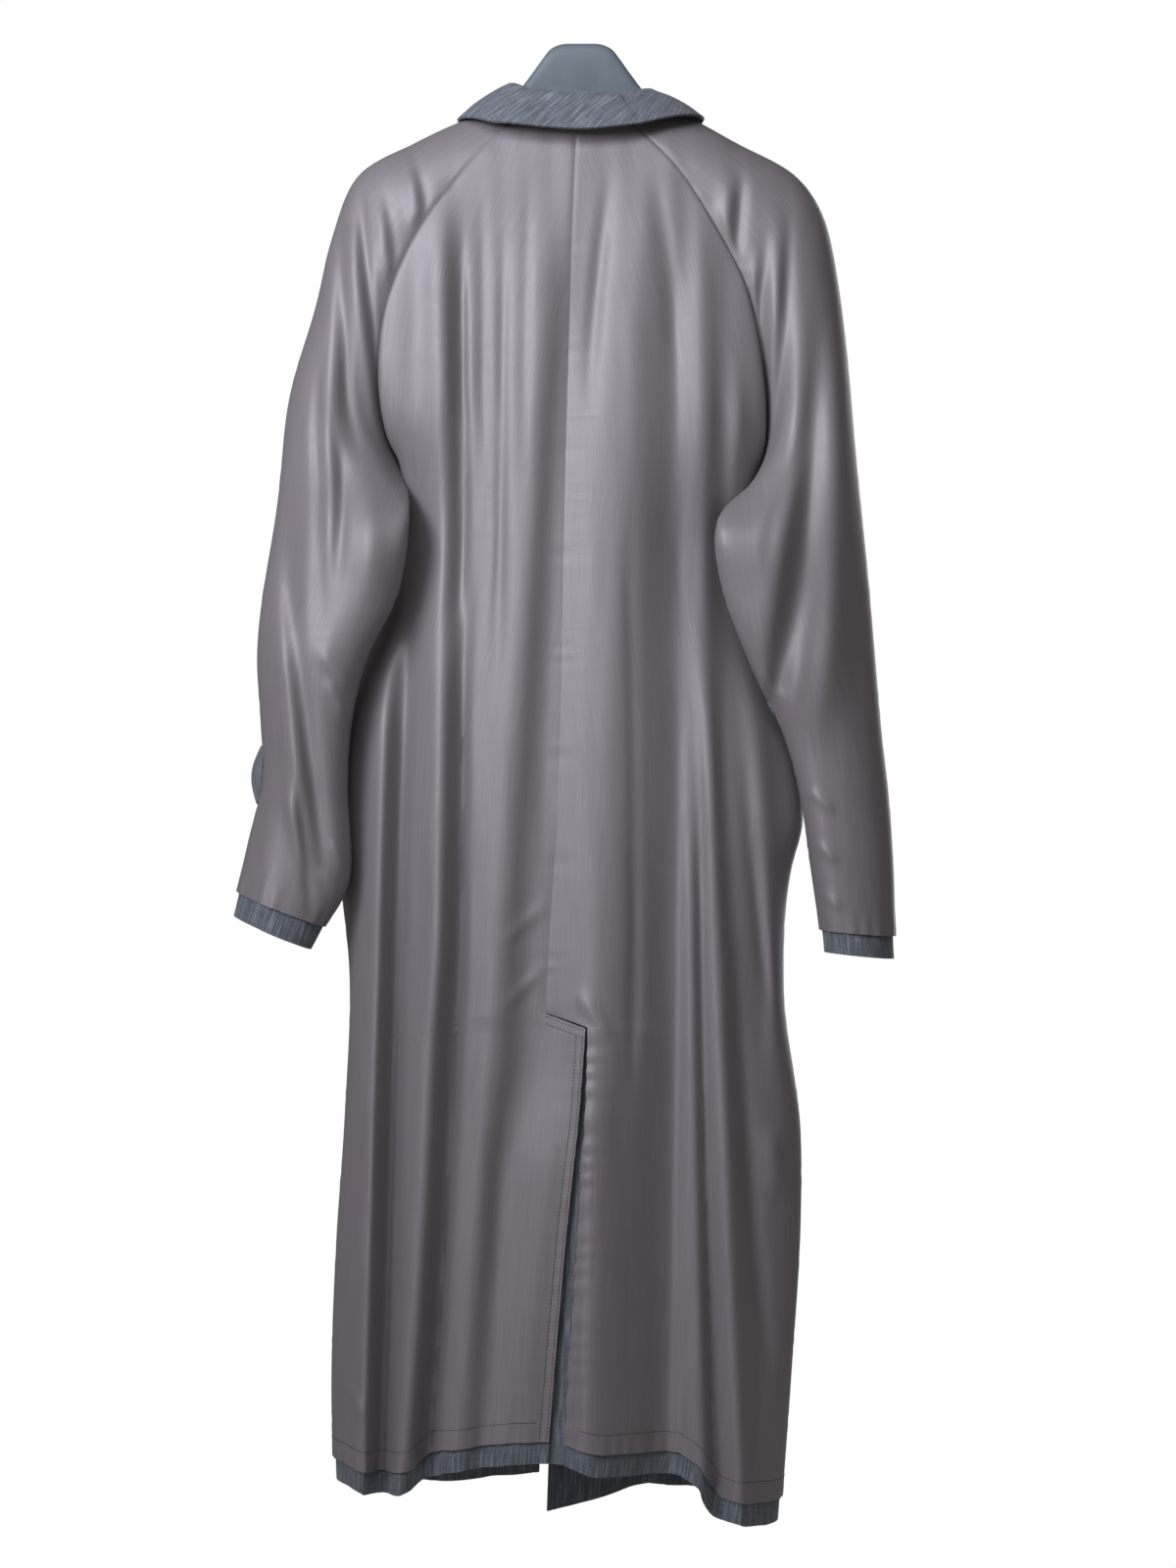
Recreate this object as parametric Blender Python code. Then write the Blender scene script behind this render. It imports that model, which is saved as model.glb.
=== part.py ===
"""A long raglan coat, turned inside out, hanging on a broad hanger.

Metres, Z up. The origin is the flat top of the hanger, where its hook goes in. The back of the
coat faces -Y and its open front faces +Y. Left is -X, as seen from behind.

Each cloth piece is a wall cut as the real piece is: half backs, half fronts with a facing, half
sleeves that run up to the neck, a folded collar, and the wool that shows past the lining.
A height is written as a drop, the distance below the origin.
"""

import math

import bpy
import numpy as np

# Thickness of the cloth and the gaps that keep its layers and seams apart
LINED_CLOTH = 0.0016
WOOL = 0.0016
COLLAR_CLOTH = 0.0024
SEAM_GAP = 0.0008
RAGLAN_GAP = 0.0018
LAYER_GAP = 0.0009
FRONT_GAP = 0.008
HEM_SHOWS = 0.020

# How square the body's cross-section is: 1 is an ellipse, less is squarer
SQUARENESS = 0.85
# The share of a panel, next to its seam, over which its folds die away
SEAM_CALM = 0.22
# The sleeves press the body's sides flat by the underarm: how much, at which row, how far up and down
PRESS = 0.5
PRESS_ROW = 1.02
PRESS_ABOVE = 0.10
PRESS_BELOW = 0.09

# Mesh steps of each kind of panel
UPPER_STEPS = 10
BACK_COLUMNS = 22
FRONT_COLUMNS = 9
FACING_COLUMNS = 5
SLEEVE_COLUMNS = 9

# Where the rows of the lower body lie, as shares of the way from underarm to hem
LOWER_ROWS = (0.012, 0.03, 0.06, 0.14, 0.22, 0.31, 0.40, 0.49)
UNDERARM_TURN = 1.04
LOWER_ROWS_BY_VENT = (0.615, 0.67, 0.75, 0.84, 0.93, 1.0)

# A sleeve, neck to wrist: its top line, its seam with the body and below that its inner line,
# its half depth, how far round the cloth reaches from the top line in degrees, and how far the
# seam and the top line lie from the middle plane. The last row is the wool cuff's edge.
SLEEVE_HEAD = ("top_x", "top_drop", "seam_x", "seam_drop", "half_depth", "wrap", "seam_y", "top_y")
UNDERARM_ROW = 7
LEFT_SLEEVE = (
    (-0.075, 0.057, -0.057, 0.071, 0.045, 41, 0.000, 0.000),
    (-0.110, 0.071, -0.081, 0.092, 0.046, 62, 0.000, 0.000),
    (-0.150, 0.090, -0.110, 0.128, 0.047, 88, 0.000, 0.000),
    (-0.200, 0.119, -0.146, 0.177, 0.050, 100, 0.000, 0.000),
    (-0.224, 0.176, -0.172, 0.238, 0.052, 112, 0.000, 0.000),
    (-0.240, 0.245, -0.180, 0.300, 0.052, 130, 0.000, 0.000),
    (-0.264, 0.318, -0.174, 0.352, 0.050, 155, 0.000, 0.000),
    (-0.268, 0.374, -0.158, 0.387, 0.048, 180, 0.000, 0.000),
    (-0.273, 0.427, -0.151, 0.432, 0.042, 180, -0.070, -0.014),
    (-0.284, 0.493, -0.160, 0.494, 0.042, 180, -0.066, -0.020),
    (-0.289, 0.550, -0.188, 0.553, 0.044, 180, -0.062, -0.022),
    (-0.286, 0.607, -0.202, 0.608, 0.043, 180, -0.056, -0.022),
    (-0.284, 0.660, -0.206, 0.666, 0.042, 180, -0.052, -0.024),
    (-0.296, 0.712, -0.204, 0.746, 0.041, 180, -0.048, -0.024),
    (-0.307, 0.760, -0.226, 0.791, 0.040, 180, -0.044, -0.024),
    (-0.312, 0.781, -0.237, 0.812, 0.039, 180, -0.043, -0.024),
)
RIGHT_SLEEVE = (
    (0.075, 0.056, 0.041, 0.074, 0.045, 57, 0.000, 0.000),
    (0.108, 0.072, 0.065, 0.096, 0.046, 72, 0.000, 0.000),
    (0.142, 0.091, 0.091, 0.125, 0.048, 90, 0.000, 0.000),
    (0.190, 0.117, 0.116, 0.166, 0.050, 100, 0.000, 0.000),
    (0.217, 0.154, 0.143, 0.216, 0.052, 112, 0.000, 0.000),
    (0.230, 0.208, 0.157, 0.270, 0.052, 130, 0.000, 0.000),
    (0.240, 0.285, 0.165, 0.330, 0.050, 155, 0.000, 0.000),
    (0.246, 0.365, 0.160, 0.384, 0.048, 180, 0.000, 0.000),
    (0.253, 0.436, 0.120, 0.432, 0.040, 180, -0.080, -0.012),
    (0.259, 0.502, 0.123, 0.490, 0.041, 180, -0.078, -0.014),
    (0.264, 0.562, 0.150, 0.562, 0.041, 180, -0.066, -0.014),
    (0.269, 0.620, 0.178, 0.618, 0.041, 180, -0.048, -0.015),
    (0.275, 0.674, 0.194, 0.674, 0.041, 180, -0.040, -0.016),
    (0.279, 0.735, 0.203, 0.733, 0.041, 180, -0.034, -0.018),
    (0.281, 0.800, 0.212, 0.794, 0.040, 180, -0.030, -0.018),
    (0.282, 0.820, 0.214, 0.814, 0.039, 180, -0.030, -0.018),
)

# Side seams of the body below the underarm, which the sleeves push towards the front: drop, x, y
LEFT_SIDE = (
    (0.387, -0.158, 0.000),
    (0.400, -0.1562, 0.0125),
    (0.430, -0.163, 0.017),
    (0.495, -0.176, 0.014),
    (0.555, -0.199, 0.010),
    (0.610, -0.214, 0.007),
    (0.670, -0.219, 0.006),
    (0.740, -0.217, 0.004),
    (0.830, -0.208, 0.000),
    (0.960, -0.212, 0.000),
    (1.080, -0.220, 0.000),
    (1.200, -0.224, 0.000),
    (1.340, -0.220, 0.000),
)
RIGHT_SIDE = (
    (0.384, 0.160, 0.000),
    (0.397, 0.152, 0.013),
    (0.430, 0.144, 0.018),
    (0.495, 0.147, 0.014),
    (0.560, 0.167, 0.010),
    (0.620, 0.189, 0.005),
    (0.670, 0.199, 0.002),
    (0.700, 0.199, 0.000),
    (0.740, 0.189, 0.000),
    (0.846, 0.182, 0.000),
    (0.975, 0.197, 0.000),
    (1.060, 0.197, 0.000),
    (1.190, 0.189, 0.000),
    (1.340, 0.178, 0.000),
)

# How far the middle of the back and of the front stand from the middle plane
BODY_DEPTH = (
    # drop, back, front
    (0.079, 0.045, 0.045),
    (0.130, 0.052, 0.052),
    (0.210, 0.056, 0.058),
    (0.390, 0.064, 0.064),
    (0.700, 0.074, 0.070),
    (1.000, 0.079, 0.076),
    (1.340, 0.086, 0.082),
)
BACK_NECK_DROP = 0.079
FRONT_NECK_DROP = 0.130
UNDERARM_DROP = 0.386

# Centre back seam, and below it the two edges of the vent: drop, x
CENTRE_BACK = (
    (0.079, -0.004), (0.180, -0.008), (0.390, -0.014), (0.600, -0.018), (0.700, -0.021),
    (0.800, -0.028), (0.866, -0.031),
)
CENTRE_BELOW_VENT = ((1.300, -0.028),)
VENT_TOP = 0.866
VENT_BAR_END = 0.878
LEFT_VENT_EDGE = ((0.878, 0.004), (0.957, -0.002), (1.060, -0.013), (1.163, -0.022), (1.300, -0.033))
RIGHT_VENT_EDGE = ((0.877, 0.006), (0.948, 0.004), (1.060, -0.003), (1.181, -0.011), (1.300, -0.018))
VENT_BAR_GAP = 0.0009
# The share of a half back over which its columns make way for the vent's edges
VENT_EASE = 0.4
UNDERLAY_REACH_LEFT = 0.028
UNDERLAY_REACH_AT_BAR = 0.012
UNDERLAY_GAP = 0.0042
UNDERLAY_ABOVE_BAR = 0.004
UNDERLAY_REACH_RIGHT = 0.012
UNDERLAY_ROWS = 10
UNDERLAY_COLUMNS = 7

# Line where the two fronts meet: drop, x
CENTRE_FRONT = ((0.130, 0.000), (0.600, -0.010), (1.000, -0.024), (1.340, -0.036))
# Width of the facing as a share of the front, at neck, underarm and hem
FACING_SHARE = (0.58, 0.36, 0.32)

# Lower edge of the lining: x, drop
BACK_HEM = (
    (-0.210, 1.266), (-0.180, 1.272), (-0.148, 1.266), (-0.124, 1.248), (-0.060, 1.240),
    (-0.020, 1.239), (0.014, 1.247), (0.088, 1.252), (0.106, 1.264), (0.124, 1.293), (0.170, 1.302),
)
LEFT_FRONT_HEM = ((-0.210, 1.266), (-0.158, 1.284), (-0.092, 1.283), (-0.040, 1.276))
RIGHT_FRONT_HEM = (
    (-0.032, 1.312), (0.013, 1.301), (0.066, 1.286), (0.099, 1.286), (0.140, 1.295), (0.170, 1.302),
)
HEM_LEVEL = 1.265
MIDDLE_OF_HEM = -0.025

# Largest folds, each a ridge that runs down the cloth through three points: x and drop of its
# start, middle and end, its width to the left and right, and its height
FOLD_HEAD = ("x0", "d0", "x1", "d1", "x2", "d2", "left", "right", "height")
BACK_FOLDS = (
    (-0.170, 0.509, -0.178, 0.751, -0.190, 1.400, 0.016, 0.013, 0.011),
    (-0.132, 0.200, -0.120, 0.664, -0.150, 1.400, 0.020, 0.012, 0.016),
    (-0.028, 0.174, -0.057, 0.664, -0.102, 1.400, 0.036, 0.020, 0.014),
    (0.039, 0.148, 0.025, 0.664, 0.013, 1.400, 0.034, 0.055, 0.017),
    (-0.001, 0.900, -0.015, 1.052, -0.036, 1.400, 0.038, 0.030, 0.007),
    (0.111, 0.234, 0.116, 0.664, 0.148, 1.400, 0.012, 0.013, 0.012),
    (0.098, 0.664, 0.102, 0.923, 0.108, 1.400, 0.011, 0.009, 0.006),
    (0.148, 0.527, 0.164, 0.733, 0.178, 0.960, 0.010, 0.011, 0.007),
)
FRONT_FOLDS = (
    (-0.120, 0.240, -0.130, 0.700, -0.150, 1.400, 0.018, 0.015, 0.013),
    (-0.060, 0.420, -0.075, 0.800, -0.085, 1.400, 0.020, 0.016, 0.010),
    (0.055, 0.400, 0.050, 0.800, 0.045, 1.400, 0.017, 0.020, 0.010),
    (0.110, 0.240, 0.108, 0.700, 0.118, 1.400, 0.015, 0.018, 0.013),
)
LEFT_SLEEVE_BACK_FOLDS = (
    (-0.209, 0.150, -0.216, 0.317, -0.220, 0.510, 0.020, 0.010, 0.008),
    (-0.202, 0.140, -0.190, 0.256, -0.163, 0.420, 0.010, 0.009, 0.007),
    (-0.263, 0.440, -0.251, 0.586, -0.234, 0.760, 0.020, 0.011, 0.010),
    (-0.272, 0.640, -0.275, 0.708, -0.285, 0.860, 0.010, 0.020, 0.006),
)
RIGHT_SLEEVE_BACK_FOLDS = (
    (0.174, 0.150, 0.171, 0.317, 0.147, 0.500, 0.010, 0.009, 0.007),
    (0.193, 0.200, 0.190, 0.386, 0.150, 0.580, 0.016, 0.014, 0.011),
    (0.219, 0.220, 0.223, 0.421, 0.213, 0.600, 0.014, 0.016, 0.006),
    (0.190, 0.620, 0.206, 0.699, 0.226, 0.860, 0.010, 0.020, 0.006),
)
LEFT_SLEEVE_FRONT_FOLDS = (
    (-0.205, 0.170, -0.205, 0.350, -0.215, 0.560, 0.014, 0.016, 0.008),
    (-0.245, 0.420, -0.240, 0.560, -0.250, 0.760, 0.014, 0.014, 0.008),
)
RIGHT_SLEEVE_FRONT_FOLDS = (
    (0.195, 0.170, 0.200, 0.350, 0.185, 0.560, 0.014, 0.016, 0.008),
    (0.230, 0.420, 0.222, 0.560, 0.236, 0.760, 0.014, 0.014, 0.008),
)
FOLD_FADE = 0.110

# The collar round the neck, by angle from the centre back: how far its stand rises and leans in
# to the fold, and how far its fall spreads and drops from there
COLLAR_HEAD = ("angle", "rise", "lean", "spread", "drop")
COLLAR = (
    (0, 0.026, 0.002, 0.023, 0.036),
    (45, 0.025, 0.004, 0.030, 0.035),
    (70, 0.022, 0.008, 0.041, 0.034),
    (90, 0.017, 0.011, 0.047, 0.031),
    (130, 0.015, 0.006, 0.034, 0.040),
    (180, 0.012, 0.002, 0.016, 0.058),
)
COLLAR_BASE_GAP = 0.0018
COLLAR_ROLL = 0.0032
COLLAR_BOW = 0.002
COLLAR_CENTRE_Y = 0.004
COLLAR_SMOOTHING = 4
NECK_HALF_WIDTH = 0.075
NECK_HALF_DEPTH = 0.045

# Short strap of wool that bows out from the outer line of the left sleeve
STRAP_DROPS = (0.630, 0.682)
STRAP_BOW = 0.009
STRAP_HALF_WIDTH = 0.010
STRAP_CLEAR = 0.0016
STRAP_ROWS = 8

# The hanger's half outline above the collar, then its arms, which follow under the sleeves
HUMP = ((0.000, 0.000), (0.013, 0.000), (0.022, 0.002), (0.0286, 0.006), (0.034, 0.013), (0.044, 0.027),
        (0.0545, 0.041), (0.064, 0.053))
ARM_STATIONS = (0.080, 0.110, 0.140, 0.165, 0.180, 0.188)
ARM_CLEAR = 0.0065
HANGER_UNDERSIDE = (
    (0.000, 0.097), (0.064, 0.101), (0.110, 0.114), (0.150, 0.134), (0.180, 0.152), (0.188, 0.148),
)
HANGER_HALF_THICKNESS = (
    (0.000, 0.008), (0.064, 0.008), (0.110, 0.012), (0.150, 0.017), (0.180, 0.019), (0.188, 0.012),
)
HANGER_CHAMFER = 0.45
HOOK_HOLE_RADIUS = 0.0025
HOOK_HOLE_DEPTH = 0.018
HOOK_HOLE_SIDES = 16

BACK = -1
FRONT = 1
SLEEVES = {"left": LEFT_SLEEVE, "right": RIGHT_SLEEVE}
SIDES = {"left": LEFT_SIDE, "right": RIGHT_SIDE}
OUTWARD = {"left": -1.0, "right": 1.0}
SLEEVE_FOLDS = {
    ("left", BACK): LEFT_SLEEVE_BACK_FOLDS,
    ("right", BACK): RIGHT_SLEEVE_BACK_FOLDS,
    ("left", FRONT): LEFT_SLEEVE_FRONT_FOLDS,
    ("right", FRONT): RIGHT_SLEEVE_FRONT_FOLDS,
}
BODY_FOLDS = {BACK: BACK_FOLDS, FRONT: FRONT_FOLDS}
STEP = 1e-3
SHARP_ANGLE = math.radians(50)

# Finishes: name, linear colour, roughness
FINISHES = (
    ("lining", (0.28, 0.26, 0.30), 0.42),
    ("wool", (0.12, 0.13, 0.15), 0.90),
    ("hanger", (0.18, 0.22, 0.26), 0.45),
)


def clear_scene():
    for thing in list(bpy.data.objects):
        bpy.data.objects.remove(thing, do_unlink=True)


def curve(keys, values, at):
    """Smooth curve through a table's rows, read at the given keys."""
    keys = np.asarray(keys, float)
    values = np.asarray(values, float)
    slope = np.gradient(values, keys)
    row = np.clip(np.searchsorted(keys, at, side="right") - 1, 0, len(keys) - 2)
    width = keys[row + 1] - keys[row]
    f = (at - keys[row]) / width
    start = (1 + 2 * f) * (1 - f) ** 2 * values[row] + f * (1 - f) ** 2 * width * slope[row]
    end = f * f * (3 - 2 * f) * values[row + 1] + f * f * (f - 1) * width * slope[row + 1]
    return start + end


def column(table, number):
    return [row[number] for row in table]


def along(table, at, number=1):
    """Smooth reading of a table by its first column."""
    return curve(column(table, 0), column(table, number), at)


def straight(table, at):
    """Straight-line reading of a two-column table."""
    return np.interp(at, column(table, 0), column(table, 1))


def ease(f):
    f = np.clip(f, 0.0, 1.0)
    return f * f * (3 - 2 * f)


def fold_height(folds, x, drop):
    """How far the folds lift the cloth at a place."""
    height = np.zeros(np.broadcast(x, drop).shape)
    for row in folds:
        fold = dict(zip(FOLD_HEAD, row))
        d0, d1, d2 = fold["d0"], fold["d1"], fold["d2"]
        path = (
            fold["x0"] * (drop - d1) * (drop - d2) / ((d0 - d1) * (d0 - d2))
            + fold["x1"] * (drop - d0) * (drop - d2) / ((d1 - d0) * (d1 - d2))
            + fold["x2"] * (drop - d0) * (drop - d1) / ((d2 - d0) * (d2 - d1))
        )
        away = x - path
        width = np.where(away < 0, fold["left"], fold["right"])
        ends = ease((drop - d0) / FOLD_FADE) * ease((d2 - drop) / FOLD_FADE)
        height = height + fold["height"] * ends * np.exp(-((away / width) ** 2))
    return height


def sleeve_row(side, s):
    """A sleeve's section at s: 0 at the neck, 1 at the underarm, 2 at the lining's edge."""
    table = SLEEVES[side]
    keys = [number / UNDERARM_ROW for number in range(len(table))]
    row = {name: curve(keys, column(table, n), s) for n, name in enumerate(SLEEVE_HEAD)}
    row["wrap"] = np.where(s >= 1.0, math.pi, np.radians(np.minimum(row["wrap"], 180.0)))
    row["seam_y"] = np.where(s <= 1.0, 0.0, row["seam_y"])
    row["top_y"] = np.where(s <= 1.0, 0.0, row["top_y"])
    return row


def sleeve_point(side, face, s, q):
    """Sleeve surface: q runs from 0 on the top line to 1 at the seam, on one face."""
    row = sleeve_row(side, s)
    angle = q * row["wrap"]
    share = (1 - np.cos(angle)) / (1 - np.cos(row["wrap"]))
    x = row["top_x"] + (row["seam_x"] - row["top_x"]) * share
    drop = row["top_drop"] + (row["seam_drop"] - row["top_drop"]) * share
    y = row["top_y"] + (row["seam_y"] - row["top_y"]) * share + face * row["half_depth"] * np.sin(angle)
    calm = ease(q / SEAM_CALM) * ease((1 - q) / SEAM_CALM)
    y = y + face * calm * fold_height(SLEEVE_FOLDS[side, face], x, drop)
    return np.stack([x, y, -drop], axis=-1)


def centre_x(side, face, drop):
    """The edge of a body panel at the centre back or the centre front."""
    if face == FRONT:
        return along(CENTRE_FRONT, drop) + OUTWARD[side] * FRONT_GAP / 2
    if side == "left":
        return straight(CENTRE_BACK + LEFT_VENT_EDGE, drop)
    return straight(CENTRE_BACK + RIGHT_VENT_EDGE, drop + VENT_BAR_GAP * (drop > VENT_TOP - VENT_BAR_GAP))


def across_x(side, face, drop, edge_x, t):
    """Where a column lies between the centre and the side.

    Only the columns near a vent's edge follow its jump at the bar.
    """
    middle = centre_x(side, face, drop)
    calm = middle if face == FRONT else straight(CENTRE_BACK + CENTRE_BELOW_VENT, drop)
    jump = (middle - calm) * np.clip(1 - t / VENT_EASE, 0.0, 1.0) ** 2
    return calm + (edge_x - calm) * np.sin(t * math.pi / 2) ** SQUARENESS + jump


def hem_drop(side, face, x):
    if face == BACK:
        return straight(BACK_HEM, x)
    return straight(LEFT_FRONT_HEM if side == "left" else RIGHT_FRONT_HEM, x)


def body_point(side, face, r, t):
    """Body surface at r down the panel and t across it.

    r is 0 at the neck, 1 at the underarm and 2 at the lining's hem. t is 0 at the centre and 1 at the side.
    """
    r, t = np.broadcast_arrays(r, t)
    bend = t * math.pi / 2
    across = np.sin(bend) ** SQUARENESS
    bulge = np.clip(np.cos(bend), 0.0, 1.0) ** SQUARENESS
    upper = np.minimum(r, 1.0)
    seam = sleeve_point(side, face, upper, np.ones_like(t))
    neck = BACK_NECK_DROP if face == BACK else FRONT_NECK_DROP
    middle = neck + (UNDERARM_DROP - neck) * upper
    drop = middle + (-seam[..., 2] - middle) * across**2
    hem_x = across_x(side, face, HEM_LEVEL, along(SIDES[side], HEM_LEVEL), t)
    lower = np.maximum(r - 1.0, 0.0)
    side_drop = -seam[..., 2] + (hem_drop(side, face, OUTWARD[side]) + seam[..., 2]) * lower
    middle = middle + (hem_drop(side, face, centre_x(side, face, HEM_LEVEL)) - middle) * lower
    drop = drop + (hem_drop(side, face, hem_x) - drop) * lower
    edge_x = np.where(r > 1.0, along(SIDES[side], side_drop), seam[..., 0])
    edge_y = np.where(r > 1.0, along(SIDES[side], side_drop, 2), seam[..., 1])
    x = across_x(side, face, middle, edge_x, t)
    depth = along(BODY_DEPTH, drop, 1 if face == BACK else 2)
    reach = np.where(r < PRESS_ROW, PRESS_ABOVE, PRESS_BELOW)
    bulge = bulge ** (1 + PRESS * np.exp(-(((r - PRESS_ROW) / reach) ** 2)))
    y = edge_y + (face * depth - edge_y) * bulge
    y = y + face * ease((1 - t) / SEAM_CALM) * fold_height(BODY_FOLDS[face], x, drop)
    return np.stack([x, y, -drop], axis=-1)


def surface_normals(point, side, face, rows, columns):
    """Outward unit normals of a surface at a grid of places."""
    ahead = point(side, face, rows, np.minimum(columns + STEP, 1.0))
    behind = point(side, face, rows, np.maximum(columns - STEP, 0.0))
    by_column = ahead - behind
    by_row = point(side, face, rows + STEP, columns) - point(side, face, np.maximum(rows - STEP, 0.0), columns)
    normal = np.cross(by_column, by_row)
    normal = normal / np.maximum(np.linalg.norm(normal, axis=-1, keepdims=True), 1e-12)
    middle = normal[normal.shape[0] // 2, normal.shape[1] // 2, 1]
    return normal if middle * face > 0 else -normal


def wall_faces(rows, columns):
    """Faces of a closed wall: an outer grid, an inner grid and the edge between them."""
    inner = rows * columns
    faces = []
    for i in range(rows - 1):
        for j in range(columns - 1):
            a = i * columns + j
            b, c, d = a + 1, a + columns + 1, a + columns
            faces += [(a, b, c), (a, c, d)]
            faces += [(c + inner, b + inner, a + inner), (d + inner, c + inner, a + inner)]
    rim = [j for j in range(columns)]
    rim += [i * columns + columns - 1 for i in range(1, rows)]
    rim += [(rows - 1) * columns + j for j in range(columns - 2, -1, -1)]
    rim += [i * columns for i in range(rows - 2, 0, -1)]
    for here, there in zip(rim, rim[1:] + rim[:1]):
        faces.append((there, here, here + inner, there + inner))
    return faces


def add_mesh(name, points, faces):
    """A mesh object whose faces point out."""
    mesh = bpy.data.meshes.new(name)
    volume = 0.0
    for face in faces:
        for second, third in zip(face[1:-1], face[2:]):
            volume += float(np.dot(points[face[0]], np.cross(points[second], points[third])))
    if volume < 0:
        faces = [tuple(reversed(face)) for face in faces]
    mesh.from_pydata([tuple(map(float, p)) for p in points], [], faces)
    mesh.validate()
    mesh.shade_smooth()
    mesh.set_sharp_from_angle(angle=SHARP_ANGLE)
    thing = bpy.data.objects.new(name, mesh)
    bpy.context.scene.collection.objects.link(thing)
    return thing


def add_wall(name, outer, inward, thickness):
    inner = outer + inward * thickness
    rows, columns = outer.shape[:2]
    points = np.concatenate([outer.reshape(-1, 3), inner.reshape(-1, 3)])
    return add_mesh(name, points, wall_faces(rows, columns))


def lower_rows():
    """Rows below the underarm, with two at the ends of the vent's slanted bar."""
    hem = straight(BACK_HEM, MIDDLE_OF_HEM)
    bar = [(drop - UNDERARM_DROP) / (hem - UNDERARM_DROP) for drop in (VENT_TOP, VENT_BAR_END)]
    return [1 + f for f in LOWER_ROWS + tuple(bar) + LOWER_ROWS_BY_VENT]


def body_rows():
    return [k / UPPER_STEPS for k in range(UPPER_STEPS + 1)] + lower_rows()


def sleeve_rows():
    """Rows from neck to wrist, with one more where the sleeve turns away from the body."""
    return sorted([k / UPPER_STEPS for k in range(2 * UPPER_STEPS + 1)] + [UNDERARM_TURN])


def front_split(rows):
    """Where the facing ends on each row of a front."""
    return np.interp(rows, (0.0, 1.0, 2.0), FACING_SHARE)


class Panels:
    """Gathers the outer grids of the main panels, so that panels that share a seam share its normals."""

    def __init__(self):
        self.grids = {}
        self.sums = {}
        self.counts = {}

    @staticmethod
    def key(point):
        return tuple(int(round(v * 20000)) for v in point)

    def add(self, name, point, side, face, rows, columns):
        outer = point(side, face, rows, columns)
        normal = surface_normals(point, side, face, rows, columns)
        self.grids[name] = (outer, normal)
        last_row, last_column = outer.shape[0] - 1, outer.shape[1] - 1
        for i in range(last_row + 1):
            for j in {0, last_column}:
                key = self.key(outer[i, j])
                self.sums[key] = self.sums.get(key, np.zeros(3)) + normal[i, j]
                self.counts[key] = self.counts.get(key, 0) + 1

    def shared(self, name):
        outer, normal = self.grids[name]
        normal = normal.copy()
        for i in range(outer.shape[0]):
            for j in (0, outer.shape[1] - 1):
                key = self.key(outer[i, j])
                mean = self.sums[key] / self.counts[key]
                size = np.linalg.norm(mean)
                if size > 0.5:
                    normal[i, j] = mean / size
        return outer.copy(), normal


def open_body_seams(outer, side, face, rows, has_centre=True, has_side=True):
    """Moves a body panel's edges back from its seams."""
    half = SEAM_GAP / 2
    if has_centre:
        outer[:, 0, 0] += OUTWARD[side] * half
    if has_side:
        raglan = rows[:, 0] <= 1.0
        outer[raglan, -1, 0] -= OUTWARD[side] * RAGLAN_GAP / 2
        outer[~raglan | (rows[:, 0] == 1.0), -1, 1] += face * half
    return outer


def open_sleeve_seams(outer, side, face, rows):
    """Moves a half sleeve's edges back from its seams."""
    half = SEAM_GAP / 2
    raglan = rows[:, 0] <= 1.0
    outer[:, 0, 1] += face * half
    outer[raglan, -1, 0] += OUTWARD[side] * RAGLAN_GAP / 2
    outer[~raglan | (rows[:, 0] == 1.0), -1, 1] += face * half
    return outer


def build_panels():
    """Half backs, half fronts with their facings, and half sleeves."""
    panels = Panels()
    places = {}
    rows = np.array(body_rows()).reshape(-1, 1)
    split = front_split(rows)
    hem_steps = np.array(body_rows() + [2.0 + HEM_SHOWS / (HEM_LEVEL - UNDERARM_DROP)]).reshape(-1, 1)
    for side in ("left", "right"):
        t = np.linspace(0.0, 1.0, BACK_COLUMNS + 1).reshape(1, -1)
        places["lining_back_" + side] = (body_point, side, BACK, *np.broadcast_arrays(rows, t))
        share = np.linspace(0.0, 1.0, FRONT_COLUMNS + 1).reshape(1, -1)
        t = split + (1 - split) * share
        places["lining_front_" + side] = (body_point, side, FRONT, *np.broadcast_arrays(rows, t))
        share = np.linspace(0.0, 1.0, FACING_COLUMNS + 1).reshape(1, -1)
        t = front_split(hem_steps) * share
        places["facing_" + side] = (body_point, side, FRONT, *np.broadcast_arrays(hem_steps, t))
        for face, word in ((BACK, "back"), (FRONT, "front")):
            s = np.array(sleeve_rows()).reshape(-1, 1)
            q = np.linspace(0.0, 1.0, SLEEVE_COLUMNS + 1).reshape(1, -1)
            name = "lining_sleeve_" + word + "_" + side
            places[name] = (sleeve_point, side, face, *np.broadcast_arrays(s, q))
    for name, place in places.items():
        panels.add(name, *place)
    for name, (point, side, face, rows, columns) in places.items():
        outer, normal = panels.shared(name)
        if point is sleeve_point:
            outer = open_sleeve_seams(outer, side, face, rows)
        elif name.startswith("facing"):
            outer = open_body_seams(outer, side, face, rows, has_centre=False, has_side=False)
            outer[:, -1, 0] -= OUTWARD[side] * RAGLAN_GAP / 2
        elif name.startswith("lining_front"):
            outer = open_body_seams(outer, side, face, rows, has_centre=False)
            outer[:, 0, 0] += OUTWARD[side] * RAGLAN_GAP / 2
        else:
            outer = open_body_seams(outer, side, face, rows)
        thickness = WOOL if name.startswith("facing") else LINED_CLOTH
        add_wall(name, outer, -normal, thickness)


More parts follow.
